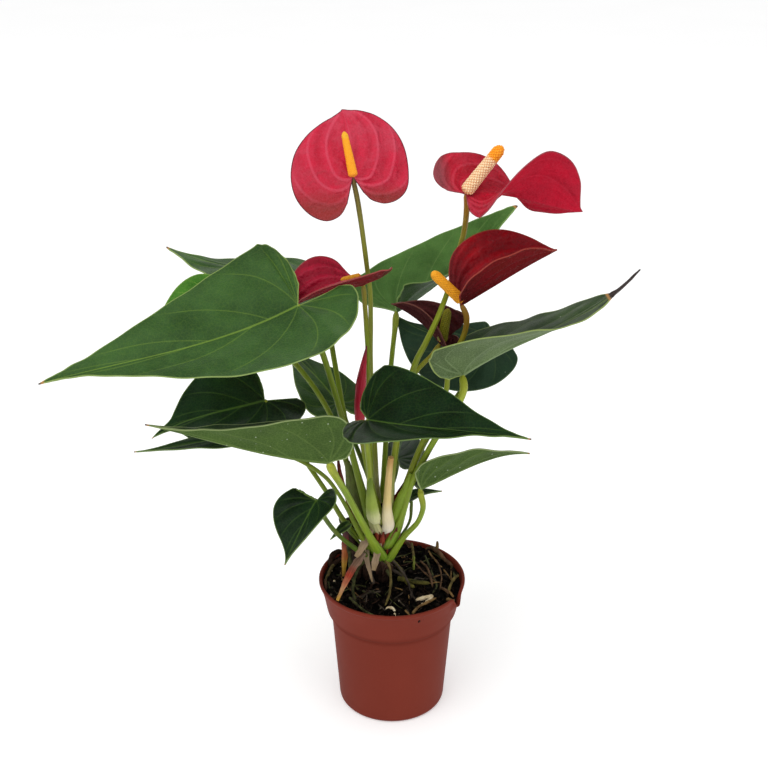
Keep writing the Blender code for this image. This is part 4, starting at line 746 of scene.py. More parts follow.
class Sheet:
    """Fine mesh of a blade, with the marks that its relief and its materials follow.

    Its grids run over the two halves, the lines from tip to back lobe and the steps from midrib to
    margin. phase counts the side veins: one is wherever its fraction is a half, and spread is how
    many millimetres one count is.
    """

    def __init__(self, blade, spacing, is_spathe):
        lines, steps = grid_of(blade, spacing)
        self.blade = blade
        self.is_spathe = is_spathe
        halves = [blade.half_lines(right, lines, steps) for right in (False, True)]
        self.along = np.stack([half[0] for half in halves])
        self.across = np.stack([half[1] for half in halves])
        tiny = np.array([-1e-9, 1e-9])[:, None, None]
        flat = blade.surface(self.along.ravel(), (self.across + tiny).ravel())
        self.grid = flat.reshape(*self.along.shape, 3)
        self.line, self.step = np.meshgrid(np.linspace(0, 1, lines + 1), np.linspace(0, 1, steps + 1),
                                           indexing="ij")
        self.number_points(lines, steps)
        self.rib = np.abs(self.across) * np.array(blade.wide)[:, None, None] * blade.half
        self.count_veins()
        self.margin = np.stack([self.margin_distance(half) for half in (0, 1)])

    def number_points(self, lines, steps):
        """Number of each grid point, where the halves share the midrib and all lines share its ends."""
        ribs = int(np.ceil(lines / self.blade.RIB_RATE))
        index = np.empty((2, lines + 1, steps + 1), int)
        index[:, :, 0] = np.minimum(np.arange(lines + 1), ribs)
        index[:, 1:, 1:] = ribs + 1 + np.arange(2 * lines * steps).reshape(2, lines, steps)
        index[:, 0, :] = 0
        self.index = index
        self.count = index.max() + 1
        around = [index[0, :, -1], index[0, -1, -2::-1], index[1, -1, 1:], index[1, -2:0:-1, -1]]
        self.around = np.concatenate(around)

    def count_veins(self):
        """Side veins: in a leaf they rise from the midrib, in a spathe they loop from base to tip."""
        shift = np.array(SPATHE_VEINS["offset"] if self.is_spathe else LEAF_VEINS["offset"])[:, None, None]
        if self.is_spathe:
            lean = self.line + SPATHE_VEINS["lean"] * self.step
            phase = lean * SPATHE_VEINS["count"] + shift
            gain = np.clip((lean - 0.6) / 0.1, 0, 1) * np.clip((self.line - 0.05) / 0.1, 0, 1)
            gain = gain * np.clip((1 - self.step) / 0.1, 0, 1)
        else:
            lean = self.line + LEAF_VEINS["lean"] * self.step**2
            phase = lean * LEAF_VEINS["count"] + shift
            gain = np.clip((self.line - 0.08) / 0.1, 0, 1) * np.clip((1 - self.step) / 0.22, 0, 1)
        self.phase = phase
        self.gain = np.broadcast_to(gain, phase.shape)
        rows, cols = self.line.shape
        du = np.gradient(self.grid, 1 / (rows - 1), axis=1)
        dv = np.gradient(self.grid, 1 / (cols - 1), axis=2)
        pu = np.gradient(phase, 1 / (rows - 1), axis=1)
        pv = np.gradient(phase, 1 / (cols - 1), axis=2)
        e, f, g = (du * du).sum(-1), (du * dv).sum(-1), (dv * dv).sum(-1)
        slope = (pu * pu * g - 2 * pu * pv * f + pv * pv * e) / np.maximum(e * g - f * f, 1e-6)
        self.spread = np.clip(1 / np.sqrt(np.maximum(slope, 1e-8)), 0.5, 80)

    def margin_distance(self, half):
        """Distance of every point of a half to that half's margin."""
        edge = np.concatenate([self.grid[half, :, -1], self.grid[half, -1]])
        points = self.grid[half].reshape(-1, 3)
        nearest = np.full(len(points), np.inf)
        for part in np.array_split(edge, 8):
            away = np.linalg.norm(points[:, None] - part[None], axis=2).min(axis=1)
            nearest = np.minimum(nearest, away)
        return nearest.reshape(self.line.shape)

    def vein_distance(self, shift=0.0):
        """Distance in millimetres to the nearest side vein."""
        return np.abs((self.phase + shift) % 1 - 0.5) * self.spread

    def gather(self, grid):
        """Value at each numbered point of a grid of values."""
        where = self.index.ravel()
        total = np.bincount(where, weights=np.broadcast_to(grid, self.index.shape).ravel())
        return total / np.bincount(where)

    def loops(self):
        """Corners of the faces as numbered points and as places in the grids."""
        place = np.arange(self.index.size).reshape(self.index.shape)
        faces = []
        places = []
        for half in (0, 1):
            number, spot = self.index[half], place[half]
            corners = [(slice(None, -1), slice(None, -1)), (slice(None, -1), slice(1, None)),
                       (slice(1, None), slice(1, None)), (slice(1, None), slice(None, -1))]
            if half:
                corners.reverse()
            quads = np.stack([number[corner].ravel() for corner in corners], 1).tolist()
            spots = np.stack([spot[corner].ravel() for corner in corners], 1).tolist()
            for quad, four in zip(quads, spots):
                keep = [k for k in range(4) if quad[k] != quad[k - 1]]
                faces.append([quad[k] for k in keep])
                places.append([four[k] for k in keep])
        return faces, places

    def normals(self, points):
        """Normal at each numbered point."""
        found = np.zeros_like(points)
        for half in (0, 1):
            n = self.index[half]
            quads = (n[:-1, :-1], n[:-1, 1:], n[1:, 1:], n[1:, :-1])
            if half:
                quads = quads[::-1]
            a, b, c, d = (points[quad.ravel()] for quad in quads)
            normal = np.cross(c - a, d - b)
            for quad in quads:
                np.add.at(found, quad.ravel(), normal)
        return found / np.maximum(np.linalg.norm(found, axis=1), 1e-9)[:, None]


def waves(sheet, seed, height):
    """Gentle unevenness of a blade and ripples that grow towards its margin, in millimetres."""
    rng = np.random.default_rng(seed)
    a = sheet.along * sheet.blade.length
    x = sheet.rib * np.array([-1, 1])[:, None, None]
    total = np.zeros_like(a)
    for _ in range(4):
        length = rng.uniform(28, 60)
        turn = rng.uniform(0, TAU)
        place = a * math.cos(turn) + x * math.sin(turn)
        total += 0.4 * height * np.sin(TAU * place / length + rng.uniform(0, TAU))
    for length in (17.0, 26.0):
        run = sheet.line * sheet.blade.length * 1.4
        ripple = np.sin(TAU * run / length + np.array([0.7, 3.9])[:, None, None] + seed)
        total += 0.55 * height * ripple * sheet.step**3
    return total * np.clip(sheet.rib / 8, 0, 1)


def leaf_relief(sheet, seed):
    """Rise of the whole leaf, then of its face and of its back, in millimetres."""
    sizes = bpy.context.scene.anthurium_sizes
    deep = sizes.vein_depth / MM
    taper = np.clip(1.05 - sheet.along, 0, 1)**0.7 * np.clip(1 + sheet.along * 12, 0, 1)
    vein = np.exp(-(sheet.vein_distance() / 0.9)**2) * sheet.gain
    minor = np.exp(-(sheet.vein_distance(0.5) / 0.7)**2) * sheet.gain * 0.5
    pillow = np.cos(TAU * sheet.phase) * np.clip(sheet.rib / 10, 0, 1) * np.clip(sheet.margin / 7, 0, 1)
    whole = waves(sheet, seed, sizes.blade_waves / MM) + 2.6 * deep * pillow
    rib = np.exp(-(sheet.rib / 1.5)**2) * taper
    face = -deep * (vein + minor) - 2.2 * deep * rib
    back = 1.2 * deep * (vein + minor) + 5.5 * deep * rib
    return whole, face, back


def spathe_relief(sheet, seed):
    """Rise of the whole spathe, then of its face and of its back, in millimetres."""
    sizes = bpy.context.scene.anthurium_sizes
    deep = sizes.ridge_height / MM
    inside = np.clip(sheet.margin / 4, 0, 1)
    ridge = np.exp(-(sheet.vein_distance() / 1.1)**2) * sheet.gain * inside
    hollow = np.cos(TAU * sheet.phase) * sheet.gain * np.clip(sheet.spread / 12, 0, 1) * inside
    taper = np.clip(1.05 - sheet.along, 0, 1)**0.7 * np.clip(1 + sheet.along * 12, 0, 1)
    rib = np.exp(-(sheet.rib / 1.4)**2) * taper
    whole = waves(sheet, seed, 0.8 * sizes.blade_waves / MM) + deep * (ridge - 0.75 * hollow)
    puckers = np.sin(TAU * sheet.line * sheet.blade.length / 5.2) * np.clip(1 - sheet.margin / 9, 0, 1)
    whole = whole + 0.12 * puckers * np.clip(sheet.margin / 2, 0, 1)
    return whole, 0.5 * deep * rib, 0.9 * deep * rib


def sheet_object(name, sheet, relief, margin_thickness, marks, materials):
    """Closed mesh of a blade with its marks as attributes and UV maps, in metres."""
    whole, face_rise, back_rise = (sheet.gather(part) for part in relief)
    points = np.stack([sheet.gather(sheet.grid[..., k]) for k in range(3)], 1)
    points = points + sheet.normals(points) * whole[:, None]
    normals = sheet.normals(points)
    share = sheet.gather(np.abs(sheet.across))
    thickness = BLADE_THICKNESS + (margin_thickness - BLADE_THICKNESS) * np.clip(share, 0, 1)**0.6
    upper = points + normals * (thickness / 2 + face_rise)[:, None]
    lower = points - normals * (thickness / 2 + back_rise)[:, None]
    faces, places = sheet.loops()
    count = sheet.count
    spots = np.zeros(count, int)
    spots[sheet.index.ravel()] = np.arange(sheet.index.size)
    rims = []
    rim_places = []
    for a, b in zip(sheet.around, np.roll(sheet.around, -1)):
        rims.append([b, a, a + count, b + count])
        rim_places.append([spots[b], spots[a], spots[a], spots[b]])
    backs = [[k + count for k in face[::-1]] for face in faces]
    mesh = bpy.data.meshes.new(name)
    mesh.from_pydata(np.vstack([upper, lower]) * MM, [], faces + backs + rims)
    for made in materials:
        mesh.materials.append(made)
    slots = [0] * len(faces) + [1] * len(backs) + [0] * len(rims)
    mesh.polygons.foreach_set("material_index", slots)
    every = places + [four[::-1] for four in places] + rim_places
    corners = np.array([spot for four in every for spot in four])
    pairs = {"blade": (np.broadcast_to(sheet.line, sheet.index.shape), np.broadcast_to(sheet.step, sheet.index.shape)),
             "veins": (sheet.phase, sheet.spread)}
    for label, (u, v) in pairs.items():
        values = np.stack([u.ravel()[corners], v.ravel()[corners]], 1)
        mesh.uv_layers.new(name=label).uv.foreach_set("vector", values.ravel())
    for label, grid in marks.items():
        values = sheet.gather(grid)
        add_attribute(mesh, label, np.concatenate([values, values]))
    mesh.shade_smooth()
    mesh.set_sharp_from_angle(angle=math.radians(65))
    return add_object(name, mesh)


def add_attribute(mesh, name, values):
    """Named value, or vector, at each point of a mesh."""
    values = np.asarray(values, float)
    kind, key = ("FLOAT", "value") if values.ndim == 1 else ("FLOAT_VECTOR", "vector")
    mesh.attributes.new(name, kind, "POINT").data.foreach_set(key, values.ravel())


def add_object(name, mesh):
    """A piece at the origin that stands in the part's frame."""
    mesh.validate()
    piece = bpy.data.objects.new(name, mesh)
    bpy.context.scene.collection.objects.link(piece)
    return piece


def path_mesh(lines):
    """Unconnected lines as edges, with their values as attributes.

    Each line is its points in millimetres and a dict of values at them: girth is the radius, spread
    how much wider it is along the direction wide.
    """
    points = []
    edges = []
    values = {"girth": [], "share": [], "run": [], "spread": [], "wide": []}
    for line, given in lines:
        start = len(points)
        points.extend(line)
        edges.extend((start + k, start + k + 1) for k in range(len(line) - 1))
        steps = np.linalg.norm(np.diff(line, axis=0), axis=1)
        run = np.concatenate([[0], np.cumsum(steps)])
        full = {"share": run / run[-1], "run": (run + 37.0 * start) * MM, "spread": np.zeros(len(line)),
                "wide": np.tile([1.0, 0.0, 0.0], (len(line), 1)), **given}
        full["girth"] = np.asarray(given["girth"]) * MM
        for key, found in values.items():
            found.extend(np.asarray(full[key]))
    mesh = bpy.data.meshes.new("path")
    mesh.from_pydata(np.array(points) * MM, edges, [])
    for key, found in values.items():
        add_attribute(mesh, key, found)
    return mesh


# Geometry Nodes

def stored(tree, geometry, name, value, kind="FLOAT", domain="POINT"):
    """Geometry with a named attribute."""
    values = {"Geometry": geometry, "Name": name, "Value": value}
    return put(tree, "GeometryNodeStoreNamedAttribute", values, data_type=kind, domain=domain).outputs[0]


def named(tree, name, kind="FLOAT"):
    """Field of a named attribute."""
    return put(tree, "GeometryNodeInputNamedAttribute", {"Name": name}, data_type=kind).outputs["Attribute"]


def finish_tree(tree, geometry, given, out):
    """Smooth shading, real geometry and the material at the end of a tree."""
    geometry = put(tree, "GeometryNodeSetShadeSmooth", {"Geometry": geometry}).outputs[0]
    geometry = put(tree, "GeometryNodeRealizeInstances", {"Geometry": geometry}).outputs[0]
    values = {"Geometry": geometry, "Material": given["Material"]}
    tree.links.new(put(tree, "GeometryNodeSetMaterial", values).outputs[0], out["Geometry"])


def shifted(tree, geometry, offset):
    return put(tree, "GeometryNodeSetPosition", {"Geometry": geometry, "Offset": offset}).outputs[0]


def skin_tube(tree, curve, sides):
    """Tube around a curve whose attribute girth is its radius, with where it is around and along."""
    ring = put(tree, "GeometryNodeCurvePrimitiveCircle", {"Resolution": sides, "Radius": 1.0}).outputs["Curve"]
    place = put(tree, "GeometryNodeInputPosition").outputs[0]
    ring = stored(tree, ring, "ring", place, "FLOAT_VECTOR")
    curve = stored(tree, curve, "centre", place, "FLOAT_VECTOR")
    values = {"Curve": curve, "Profile Curve": ring, "Scale": named(tree, "girth"), "Fill Caps": True}
    return put(tree, "GeometryNodeCurveToMesh", values).outputs[0]


def make_tubes_tree():
    """Tubes along lines: stalks, roots, the crown."""
    inputs = [("Geometry", GEOMETRY, None), ("Sides", INT, 16), ("Lump Height", FLOAT, 0.0),
              ("Lump Size", FLOAT, 0.006), ("Material", MATERIAL, None)]
    tree, given, out = new_group("Tubes", inputs, [("Geometry", GEOMETRY)], "GeometryNodeTree")
    curve = put(tree, "GeometryNodeMeshToCurve", {"Mesh": given["Geometry"]}).outputs[0]
    tubes = skin_tube(tree, curve, given["Sides"])
    place = put(tree, "GeometryNodeInputPosition").outputs[0]
    wide = named(tree, "wide", "FLOAT_VECTOR")
    away = vector_calc(tree, "SUBTRACT", {0: place, 1: named(tree, "centre", "FLOAT_VECTOR")})
    beside = calc(tree, "MULTIPLY", vector_calc(tree, "DOT_PRODUCT", {0: away, 1: wide}), named(tree, "spread"))
    tubes = shifted(tree, tubes, vector_calc(tree, "SCALE", {0: wide, "Scale": beside}))
    size = calc(tree, "DIVIDE", 1.0, given["Lump Size"])
    values = {"Vector": place, "Scale": size, "Detail": 3.0, "Roughness": 0.6}
    lumps = calc(tree, "SUBTRACT", put(tree, "ShaderNodeTexNoise", values).outputs[0], 0.5)
    lumps = calc(tree, "MULTIPLY", lumps, given["Lump Height"])
    normal = put(tree, "GeometryNodeInputNormal").outputs[0]
    tubes = shifted(tree, tubes, vector_calc(tree, "SCALE", {0: normal, "Scale": lumps}))
    finish_tree(tree, tubes, given, out)


def make_florets_tree():
    """Spadix: a core along a line, covered by knobs that wind around it."""
    inputs = [("Geometry", GEOMETRY, None), ("Count", INT, 300), ("Size", FLOAT, 0.0008),
              ("Proud", FLOAT, 0.5), ("Material", MATERIAL, None)]
    tree, given, out = new_group("Florets", inputs, [("Geometry", GEOMETRY)], "GeometryNodeTree")
    curve = put(tree, "GeometryNodeMeshToCurve", {"Mesh": given["Geometry"]}).outputs[0]
    core = skin_tube(tree, curve, 28)
    core = stored(tree, core, "knob", 0.0)
    points = put(tree, "GeometryNodePoints", {"Count": given["Count"]}).outputs[0]
    number = put(tree, "GeometryNodeInputIndex").outputs[0]
    factor = calc(tree, "DIVIDE", calc(tree, "ADD", number, 0.5), given["Count"])
    values = {"Curves": curve, "Value": named(tree, "girth"), "Factor": factor}
    found = put(tree, "GeometryNodeSampleCurve", values, mode="FACTOR", data_type="FLOAT").outputs
    girth, centre, tangent, normal = (found[name] for name in ("Value", "Position", "Tangent", "Normal"))
    turn = calc(tree, "MULTIPLY", number, GOLDEN_ANGLE)
    other = vector_calc(tree, "CROSS_PRODUCT", {0: tangent, 1: normal})
    first = vector_calc(tree, "SCALE", {0: normal, "Scale": calc(tree, "COSINE", turn)})
    second = vector_calc(tree, "SCALE", {0: other, "Scale": calc(tree, "SINE", turn)})
    outward = vector_calc(tree, "ADD", {0: first, 1: second})
    sunk = calc(tree, "MULTIPLY", given["Size"], calc(tree, "SUBTRACT", given["Proud"], 0.75))
    reach = vector_calc(tree, "SCALE", {0: outward, "Scale": calc(tree, "ADD", girth, sunk)})
    values = {"Geometry": points, "Position": vector_calc(tree, "ADD", {0: centre, 1: reach})}
    points = put(tree, "GeometryNodeSetPosition", values).outputs[0]
    points = stored(tree, points, "share", factor)
    values = {"Factor": 1.0, "Vector": outward}
    aim = put(tree, "FunctionNodeAlignRotationToVector", values, axis="Z").outputs[0]
    ball = put(tree, "GeometryNodeMeshIcoSphere", {"Radius": 1.0, "Subdivisions": 2}).outputs[0]
    height = put(tree, "ShaderNodeSeparateXYZ", {0: put(tree, "GeometryNodeInputPosition").outputs[0]}).outputs[2]
    ball = stored(tree, ball, "knob", remap(tree, height, 0.0, 0.75))
    ball = put(tree, "GeometryNodeTransform", {"Geometry": ball, "Scale": (1.0, 1.0, 0.8)}).outputs[0]
    chance = put(tree, "FunctionNodeRandomValue", {2: 0.86, 3: 1.12, "Seed": 4}, data_type="FLOAT").outputs[1]
    size = calc(tree, "MULTIPLY", given["Size"], chance)
    values = {"Points": points, "Instance": ball, "Rotation": aim, "Scale": size}
    knobs = put(tree, "GeometryNodeInstanceOnPoints", values).outputs[0]
    knobs = put(tree, "GeometryNodeRealizeInstances", {"Geometry": knobs}).outputs[0]
    both = put(tree, "GeometryNodeJoinGeometry")
    tree.links.new(core, both.inputs[0])
    tree.links.new(knobs, both.inputs[0])
    finish_tree(tree, both.outputs[0], given, out)


def make_lumps_tree():
    """Uneven top for the soil: two sizes of lump, strongest where the attribute free is one."""
    inputs = [("Geometry", GEOMETRY, None), ("Height", FLOAT, 0.002), ("Size", FLOAT, 0.008),
              ("Material", MATERIAL, None)]
    tree, given, out = new_group("Soil Top", inputs, [("Geometry", GEOMETRY)], "GeometryNodeTree")
    place = put(tree, "GeometryNodeInputPosition").outputs[0]
    total = None
    for share, detail in ((1.0, 3.0), (0.3, 5.0)):
        size = calc(tree, "DIVIDE", 1.0, calc(tree, "MULTIPLY", given["Size"], share))
        values = {"Vector": place, "Scale": size, "Detail": detail, "Roughness": 0.65}
        part = calc(tree, "SUBTRACT", put(tree, "ShaderNodeTexNoise", values).outputs[0], 0.5)
        part = calc(tree, "MULTIPLY", part, 2.0 * share)
        total = part if total is None else calc(tree, "ADD", total, part)
    lift = calc(tree, "MULTIPLY", calc(tree, "MULTIPLY", total, given["Height"]), named(tree, "free"))
    offset = put(tree, "ShaderNodeCombineXYZ", {2: lift}).outputs[0]
    finish_tree(tree, shifted(tree, given["Geometry"], offset), given, out)


def make_scatter_tree():
    """Crumbs strewn over a surface, part sunk in it, each of its own size and turn."""
    inputs = [("Geometry", GEOMETRY, None), ("Density", FLOAT, 1e5), ("Smallest", FLOAT, 0.0005),
              ("Largest", FLOAT, 0.002), ("Lift", FLOAT, 0.0), ("Roughness", FLOAT, 0.5), ("Seed", INT, 1),
              ("Material", MATERIAL, None)]
    tree, given, out = new_group("Scatter", inputs, [("Geometry", GEOMETRY)], "GeometryNodeTree")
    values = {"Mesh": given["Geometry"], "Selection": calc(tree, "GREATER_THAN", named(tree, "free"), 0.6),
              "Density": given["Density"], "Seed": given["Seed"]}
    points = put(tree, "GeometryNodeDistributePointsOnFaces", values).outputs[0]
    lift = put(tree, "ShaderNodeCombineXYZ", {2: given["Lift"]}).outputs[0]
    points = shifted(tree, points, lift)
    values = {2: 0.0, 3: 1.0, "Seed": given["Seed"]}
    chance = put(tree, "FunctionNodeRandomValue", values, data_type="FLOAT").outputs[1]
    span = calc(tree, "SUBTRACT", given["Largest"], given["Smallest"])
    size = calc(tree, "MULTIPLY_ADD", calc(tree, "POWER", chance, 3.0), span, given["Smallest"])
    turn = put(tree, "FunctionNodeRandomValue", {0: (0.0, 0.0, 0.0), 1: (TAU, TAU, TAU), "Seed": 7},
               data_type="FLOAT_VECTOR").outputs[0]
    ball = put(tree, "GeometryNodeMeshIcoSphere", {"Radius": 1.0, "Subdivisions": 2}).outputs[0]
    values = {"Points": points, "Instance": ball, "Rotation": put(tree, "FunctionNodeEulerToRotation",
                                                                  {0: turn}).outputs[0], "Scale": size}
    crumbs = put(tree, "GeometryNodeInstanceOnPoints", values).outputs[0]
    crumbs = stored(tree, crumbs, "size", size, domain="INSTANCE")
    crumbs = put(tree, "GeometryNodeRealizeInstances", {"Geometry": crumbs}).outputs[0]
    place = put(tree, "GeometryNodeInputPosition").outputs[0]
    scale = calc(tree, "DIVIDE", 1.4, given["Largest"])
    lumps = put(tree, "ShaderNodeTexNoise", {"Vector": place, "Scale": scale, "Detail": 2.0}).outputs["Color"]
    lumps = vector_calc(tree, "SUBTRACT", {0: lumps, 1: (0.5, 0.5, 0.5)})
    lumps = vector_calc(tree, "SCALE", {0: lumps, "Scale": calc(tree, "MULTIPLY", named(tree, "size"), 2.6)})
    lumps = vector_calc(tree, "SCALE", {0: lumps, "Scale": given["Roughness"]})
    finish_tree(tree, shifted(tree, crumbs, lumps), given, out)


def grown(name, mesh, tree_name, values):
    """Plain mesh object that a Geometry Nodes tree makes from a mesh."""
    tree = bpy.data.node_groups[tree_name]
    seed = bpy.data.objects.new(name + "_seed", mesh)
    bpy.context.scene.collection.objects.link(seed)
    modifier = seed.modifiers.new(tree_name, "NODES")
    modifier.node_group = tree
    for item in tree.interface.items_tree:
        if item.item_type == "SOCKET" and item.in_out == "INPUT" and item.name in values:
            modifier[item.identifier] = values[item.name]
    graph = bpy.context.evaluated_depsgraph_get()
    made = bpy.data.meshes.new_from_object(seed.evaluated_get(graph), depsgraph=graph)
    made.name = name
    bpy.data.objects.remove(seed)
    return add_object(name, made)


# Node trees

def put(tree, kind, values=None, **settings):
    """A new node. values gives its inputs, by name or number, as plain values or as sockets to link."""
    node = tree.nodes.new(kind)
    count = len(tree.nodes)
    node.location = (190 * (count % 10), -260 * (count // 10))
    for name, value in settings.items():
        setattr(node, name, value)
    for key, value in (values or {}).items():
        if isinstance(value, bpy.types.NodeSocket):
            tree.links.new(value, node.inputs[key])
        else:
            node.inputs[key].default_value = value
    return node


def calc(tree, operation, a, b=0.0, c=0.0, clamp=False):
    """Result of a Math node."""
    return put(tree, "ShaderNodeMath", {0: a, 1: b, 2: c}, operation=operation, use_clamp=clamp).outputs[0]


def vector_calc(tree, operation, values):
    """Result of a Vector Math node."""
    node = put(tree, "ShaderNodeVectorMath", values, operation=operation)
    return node.outputs["Value" if operation in ("DOT_PRODUCT", "LENGTH") else "Vector"]


def remap(tree, value, low, high, start=0.0, end=1.0):
    """Value smoothly remapped from low..high to start..end."""
    values = {"Value": value, "From Min": low, "From Max": high, "To Min": start, "To Max": end}
    return put(tree, "ShaderNodeMapRange", values, interpolation_type="SMOOTHSTEP").outputs["Result"]


def mixed(tree, factor, first, second, blend_type="MIX"):
    """Colour mixed from two colours."""
    values = {0: factor, 6: first, 7: second}
    return put(tree, "ShaderNodeMix", values, data_type="RGBA", blend_type=blend_type).outputs[2]


def attribute(tree, name):
    """Value of a named attribute of the mesh."""
    return put(tree, "ShaderNodeAttribute", attribute_name=name).outputs["Fac"]


def object_place(tree):
    return put(tree, "ShaderNodeTexCoord").outputs["Object"]


def noise(tree, place, size, detail=3.0, roughness=0.55):
    """Noise with features of about the given size, in metres."""
    values = {"Vector": place, "Scale": 1 / size, "Detail": detail, "Roughness": roughness}
    return put(tree, "ShaderNodeTexNoise", values).outputs[0]


def new_group(name, inputs, outputs, kind="ShaderNodeTree"):
    """An empty node group and the sockets of its input and output nodes."""
    tree = bpy.data.node_groups.new(name, kind)
    for label, socket_kind, default in inputs:
        socket = tree.interface.new_socket(label, in_out="INPUT", socket_type=socket_kind)
        if default is not None:
            socket.default_value = default
    for label, socket_kind in outputs:
        tree.interface.new_socket(label, in_out="OUTPUT", socket_type=socket_kind)
    return tree, put(tree, "NodeGroupInput").outputs, put(tree, "NodeGroupOutput").inputs


def use_group(tree, name, **values):
    """Outputs of a shader group placed in a tree; value names have underscores for spaces."""
    values = {key.replace("_", " "): value for key, value in values.items()}
    return put(tree, "ShaderNodeGroup", values, node_tree=bpy.data.node_groups[name]).outputs


def make_marks_group():
    """Masks of a blade's midrib, side veins, margin and the pillows between its veins.

    It reads the blade's attributes: the UV map "veins" holds a count that passes a half at each vein
    and how many millimetres one count is there, and the rest are distances in millimetres.
    """
    inputs = [("Midrib Width", FLOAT, 1.6), ("Vein Width", FLOAT, 0.7), ("Margin Width", FLOAT, 0.6)]
    outputs = [("Midrib", FLOAT), ("Vein", FLOAT), ("Margin", FLOAT), ("Pillow", FLOAT)]
    tree, given, out = new_group("Blade Marks", inputs, outputs)
    share = attribute(tree, "along")
    taper = remap(tree, share, 0.0, 1.0, 1.0, 0.25)
    width = calc(tree, "MULTIPLY", given["Midrib Width"], taper)
    ratio = calc(tree, "DIVIDE", calc(tree, "ABSOLUTE", attribute(tree, "rib")), width)
    tree.links.new(remap(tree, ratio, 0.25, 0.75, 1.0, 0.0), out["Midrib"])
    veins = put(tree, "ShaderNodeSeparateXYZ", {0: put(tree, "ShaderNodeUVMap", uv_map="veins").outputs[0]}).outputs
    off = calc(tree, "ABSOLUTE", calc(tree, "SUBTRACT", calc(tree, "FRACT", veins[0]), 0.5))
    ratio = calc(tree, "DIVIDE", calc(tree, "MULTIPLY", off, veins[1]), given["Vein Width"])
    line = remap(tree, ratio, 0.2, 0.8, 1.0, 0.0)
    tree.links.new(calc(tree, "MULTIPLY", line, attribute(tree, "gain")), out["Vein"])
    tree.links.new(remap(tree, off, 0.0, 0.5), out["Pillow"])
    ratio = calc(tree, "DIVIDE", attribute(tree, "margin"), given["Margin Width"])
    tree.links.new(remap(tree, ratio, 0.4, 1.2, 1.0, 0.0), out["Margin"])


def make_mottle_group():
    """Soft irregular patches from 0 to 1."""
    tree, given, out = new_group("Mottle", [("Size", FLOAT, 0.02), ("Detail", FLOAT, 4.0)], [("Value", FLOAT)])
    scale = calc(tree, "DIVIDE", 1.0, given["Size"])
    values = {"Vector": object_place(tree), "Scale": scale, "Detail": given["Detail"], "Roughness": 0.6}
    tree.links.new(remap(tree, put(tree, "ShaderNodeTexNoise", values).outputs[0], 0.3, 0.7), out["Value"])


def make_skin_group():
    """Fine net of veinlets and grain of living skin: a mask of the net, and a height."""
    inputs = [("Cell Size", FLOAT, 0.0022), ("Grain Size", FLOAT, 0.0006)]
    tree, given, out = new_group("Plant Skin", inputs, [("Net", FLOAT), ("Height", FLOAT)])
    place = object_place(tree)
    shift = put(tree, "ShaderNodeTexNoise", {"Vector": place, "Scale": 260.0, "Detail": 2.0}).outputs["Color"]
    shift = vector_calc(tree, "SCALE", {0: shift, "Scale": 0.0016})
    warped = vector_calc(tree, "ADD", {0: place, 1: shift})
    values = {"Vector": warped, "Scale": calc(tree, "DIVIDE", 1.0, given["Cell Size"])}
    cells = put(tree, "ShaderNodeTexVoronoi", values, feature="DISTANCE_TO_EDGE").outputs["Distance"]
    net = remap(tree, cells, 0.0, 0.12, 1.0, 0.0)
    grain = {"Vector": place, "Scale": calc(tree, "DIVIDE", 1.0, given["Grain Size"]), "Detail": 2.0}
    grain = put(tree, "ShaderNodeTexNoise", grain).outputs[0]
    tree.links.new(net, out["Net"])
    tree.links.new(calc(tree, "MULTIPLY_ADD", net, -0.45, grain), out["Height"])


def make_streaks_group():
    """Streaks along a stalk or root, from its attributes ring, girth and run."""
    inputs = [("Width", FLOAT, 0.0007), ("Stretch", FLOAT, 0.05)]
    tree, given, out = new_group("Streaks", inputs, [("Value", FLOAT)])
    ring = put(tree, "ShaderNodeAttribute", attribute_name="ring").outputs["Vector"]
    ring = vector_calc(tree, "SCALE", {0: ring, "Scale": attribute(tree, "girth")})
    along = put(tree, "ShaderNodeCombineXYZ", {2: calc(tree, "MULTIPLY", attribute(tree, "run"), given["Stretch"])})
    place = vector_calc(tree, "ADD", {0: ring, 1: along.outputs[0]})
    scale = calc(tree, "DIVIDE", 1.0, given["Width"])
    values = {"Vector": place, "Scale": scale, "Detail": 3.0, "Roughness": 0.6}
    tree.links.new(remap(tree, put(tree, "ShaderNodeTexNoise", values).outputs[0], 0.3, 0.7), out["Value"])


def make_specks_group():
    """Small scattered round specks."""
    inputs = [("Spacing", FLOAT, 0.004), ("Radius", FLOAT, 0.12), ("Share", FLOAT, 0.4)]
    tree, given, out = new_group("Specks", inputs, [("Mask", FLOAT)])
    values = {"Vector": object_place(tree), "Scale": calc(tree, "DIVIDE", 1.0, given["Spacing"])}
    cell = put(tree, "ShaderNodeTexVoronoi", values).outputs
    chance = put(tree, "ShaderNodeSeparateColor", {0: cell["Color"]}).outputs
    radius = calc(tree, "MULTIPLY", given["Radius"], calc(tree, "ADD", chance[1], 0.3))
    spot = calc(tree, "LESS_THAN", cell["Distance"], radius)
    kept = calc(tree, "LESS_THAN", chance[0], given["Share"])
    tree.links.new(calc(tree, "MULTIPLY", spot, kept), out["Mask"])


def new_material(name):
    """An empty material, its tree and its Principled shader."""
    made = bpy.data.materials.new(name)
    made.use_nodes = True
    return made, made.node_tree, made.node_tree.nodes["Principled BSDF"]


def set_up(tree, shader, **values):
    """Values or sockets of a shader's inputs; names have underscores for spaces."""
    for key, value in values.items():
        socket = shader.inputs[key.replace("_", " ")]
        if isinstance(value, bpy.types.NodeSocket):
            tree.links.new(value, socket)
        else:
            socket.default_value = value


def bump(tree, shader, height, distance, strength=1.0):
    """Relief of the given height in metres."""
    values = {"Strength": strength, "Distance": distance, "Height": height}
    node = put(tree, "ShaderNodeBump", values)
    tree.links.new(node.outputs[0], shader.inputs["Normal"])


# Materials

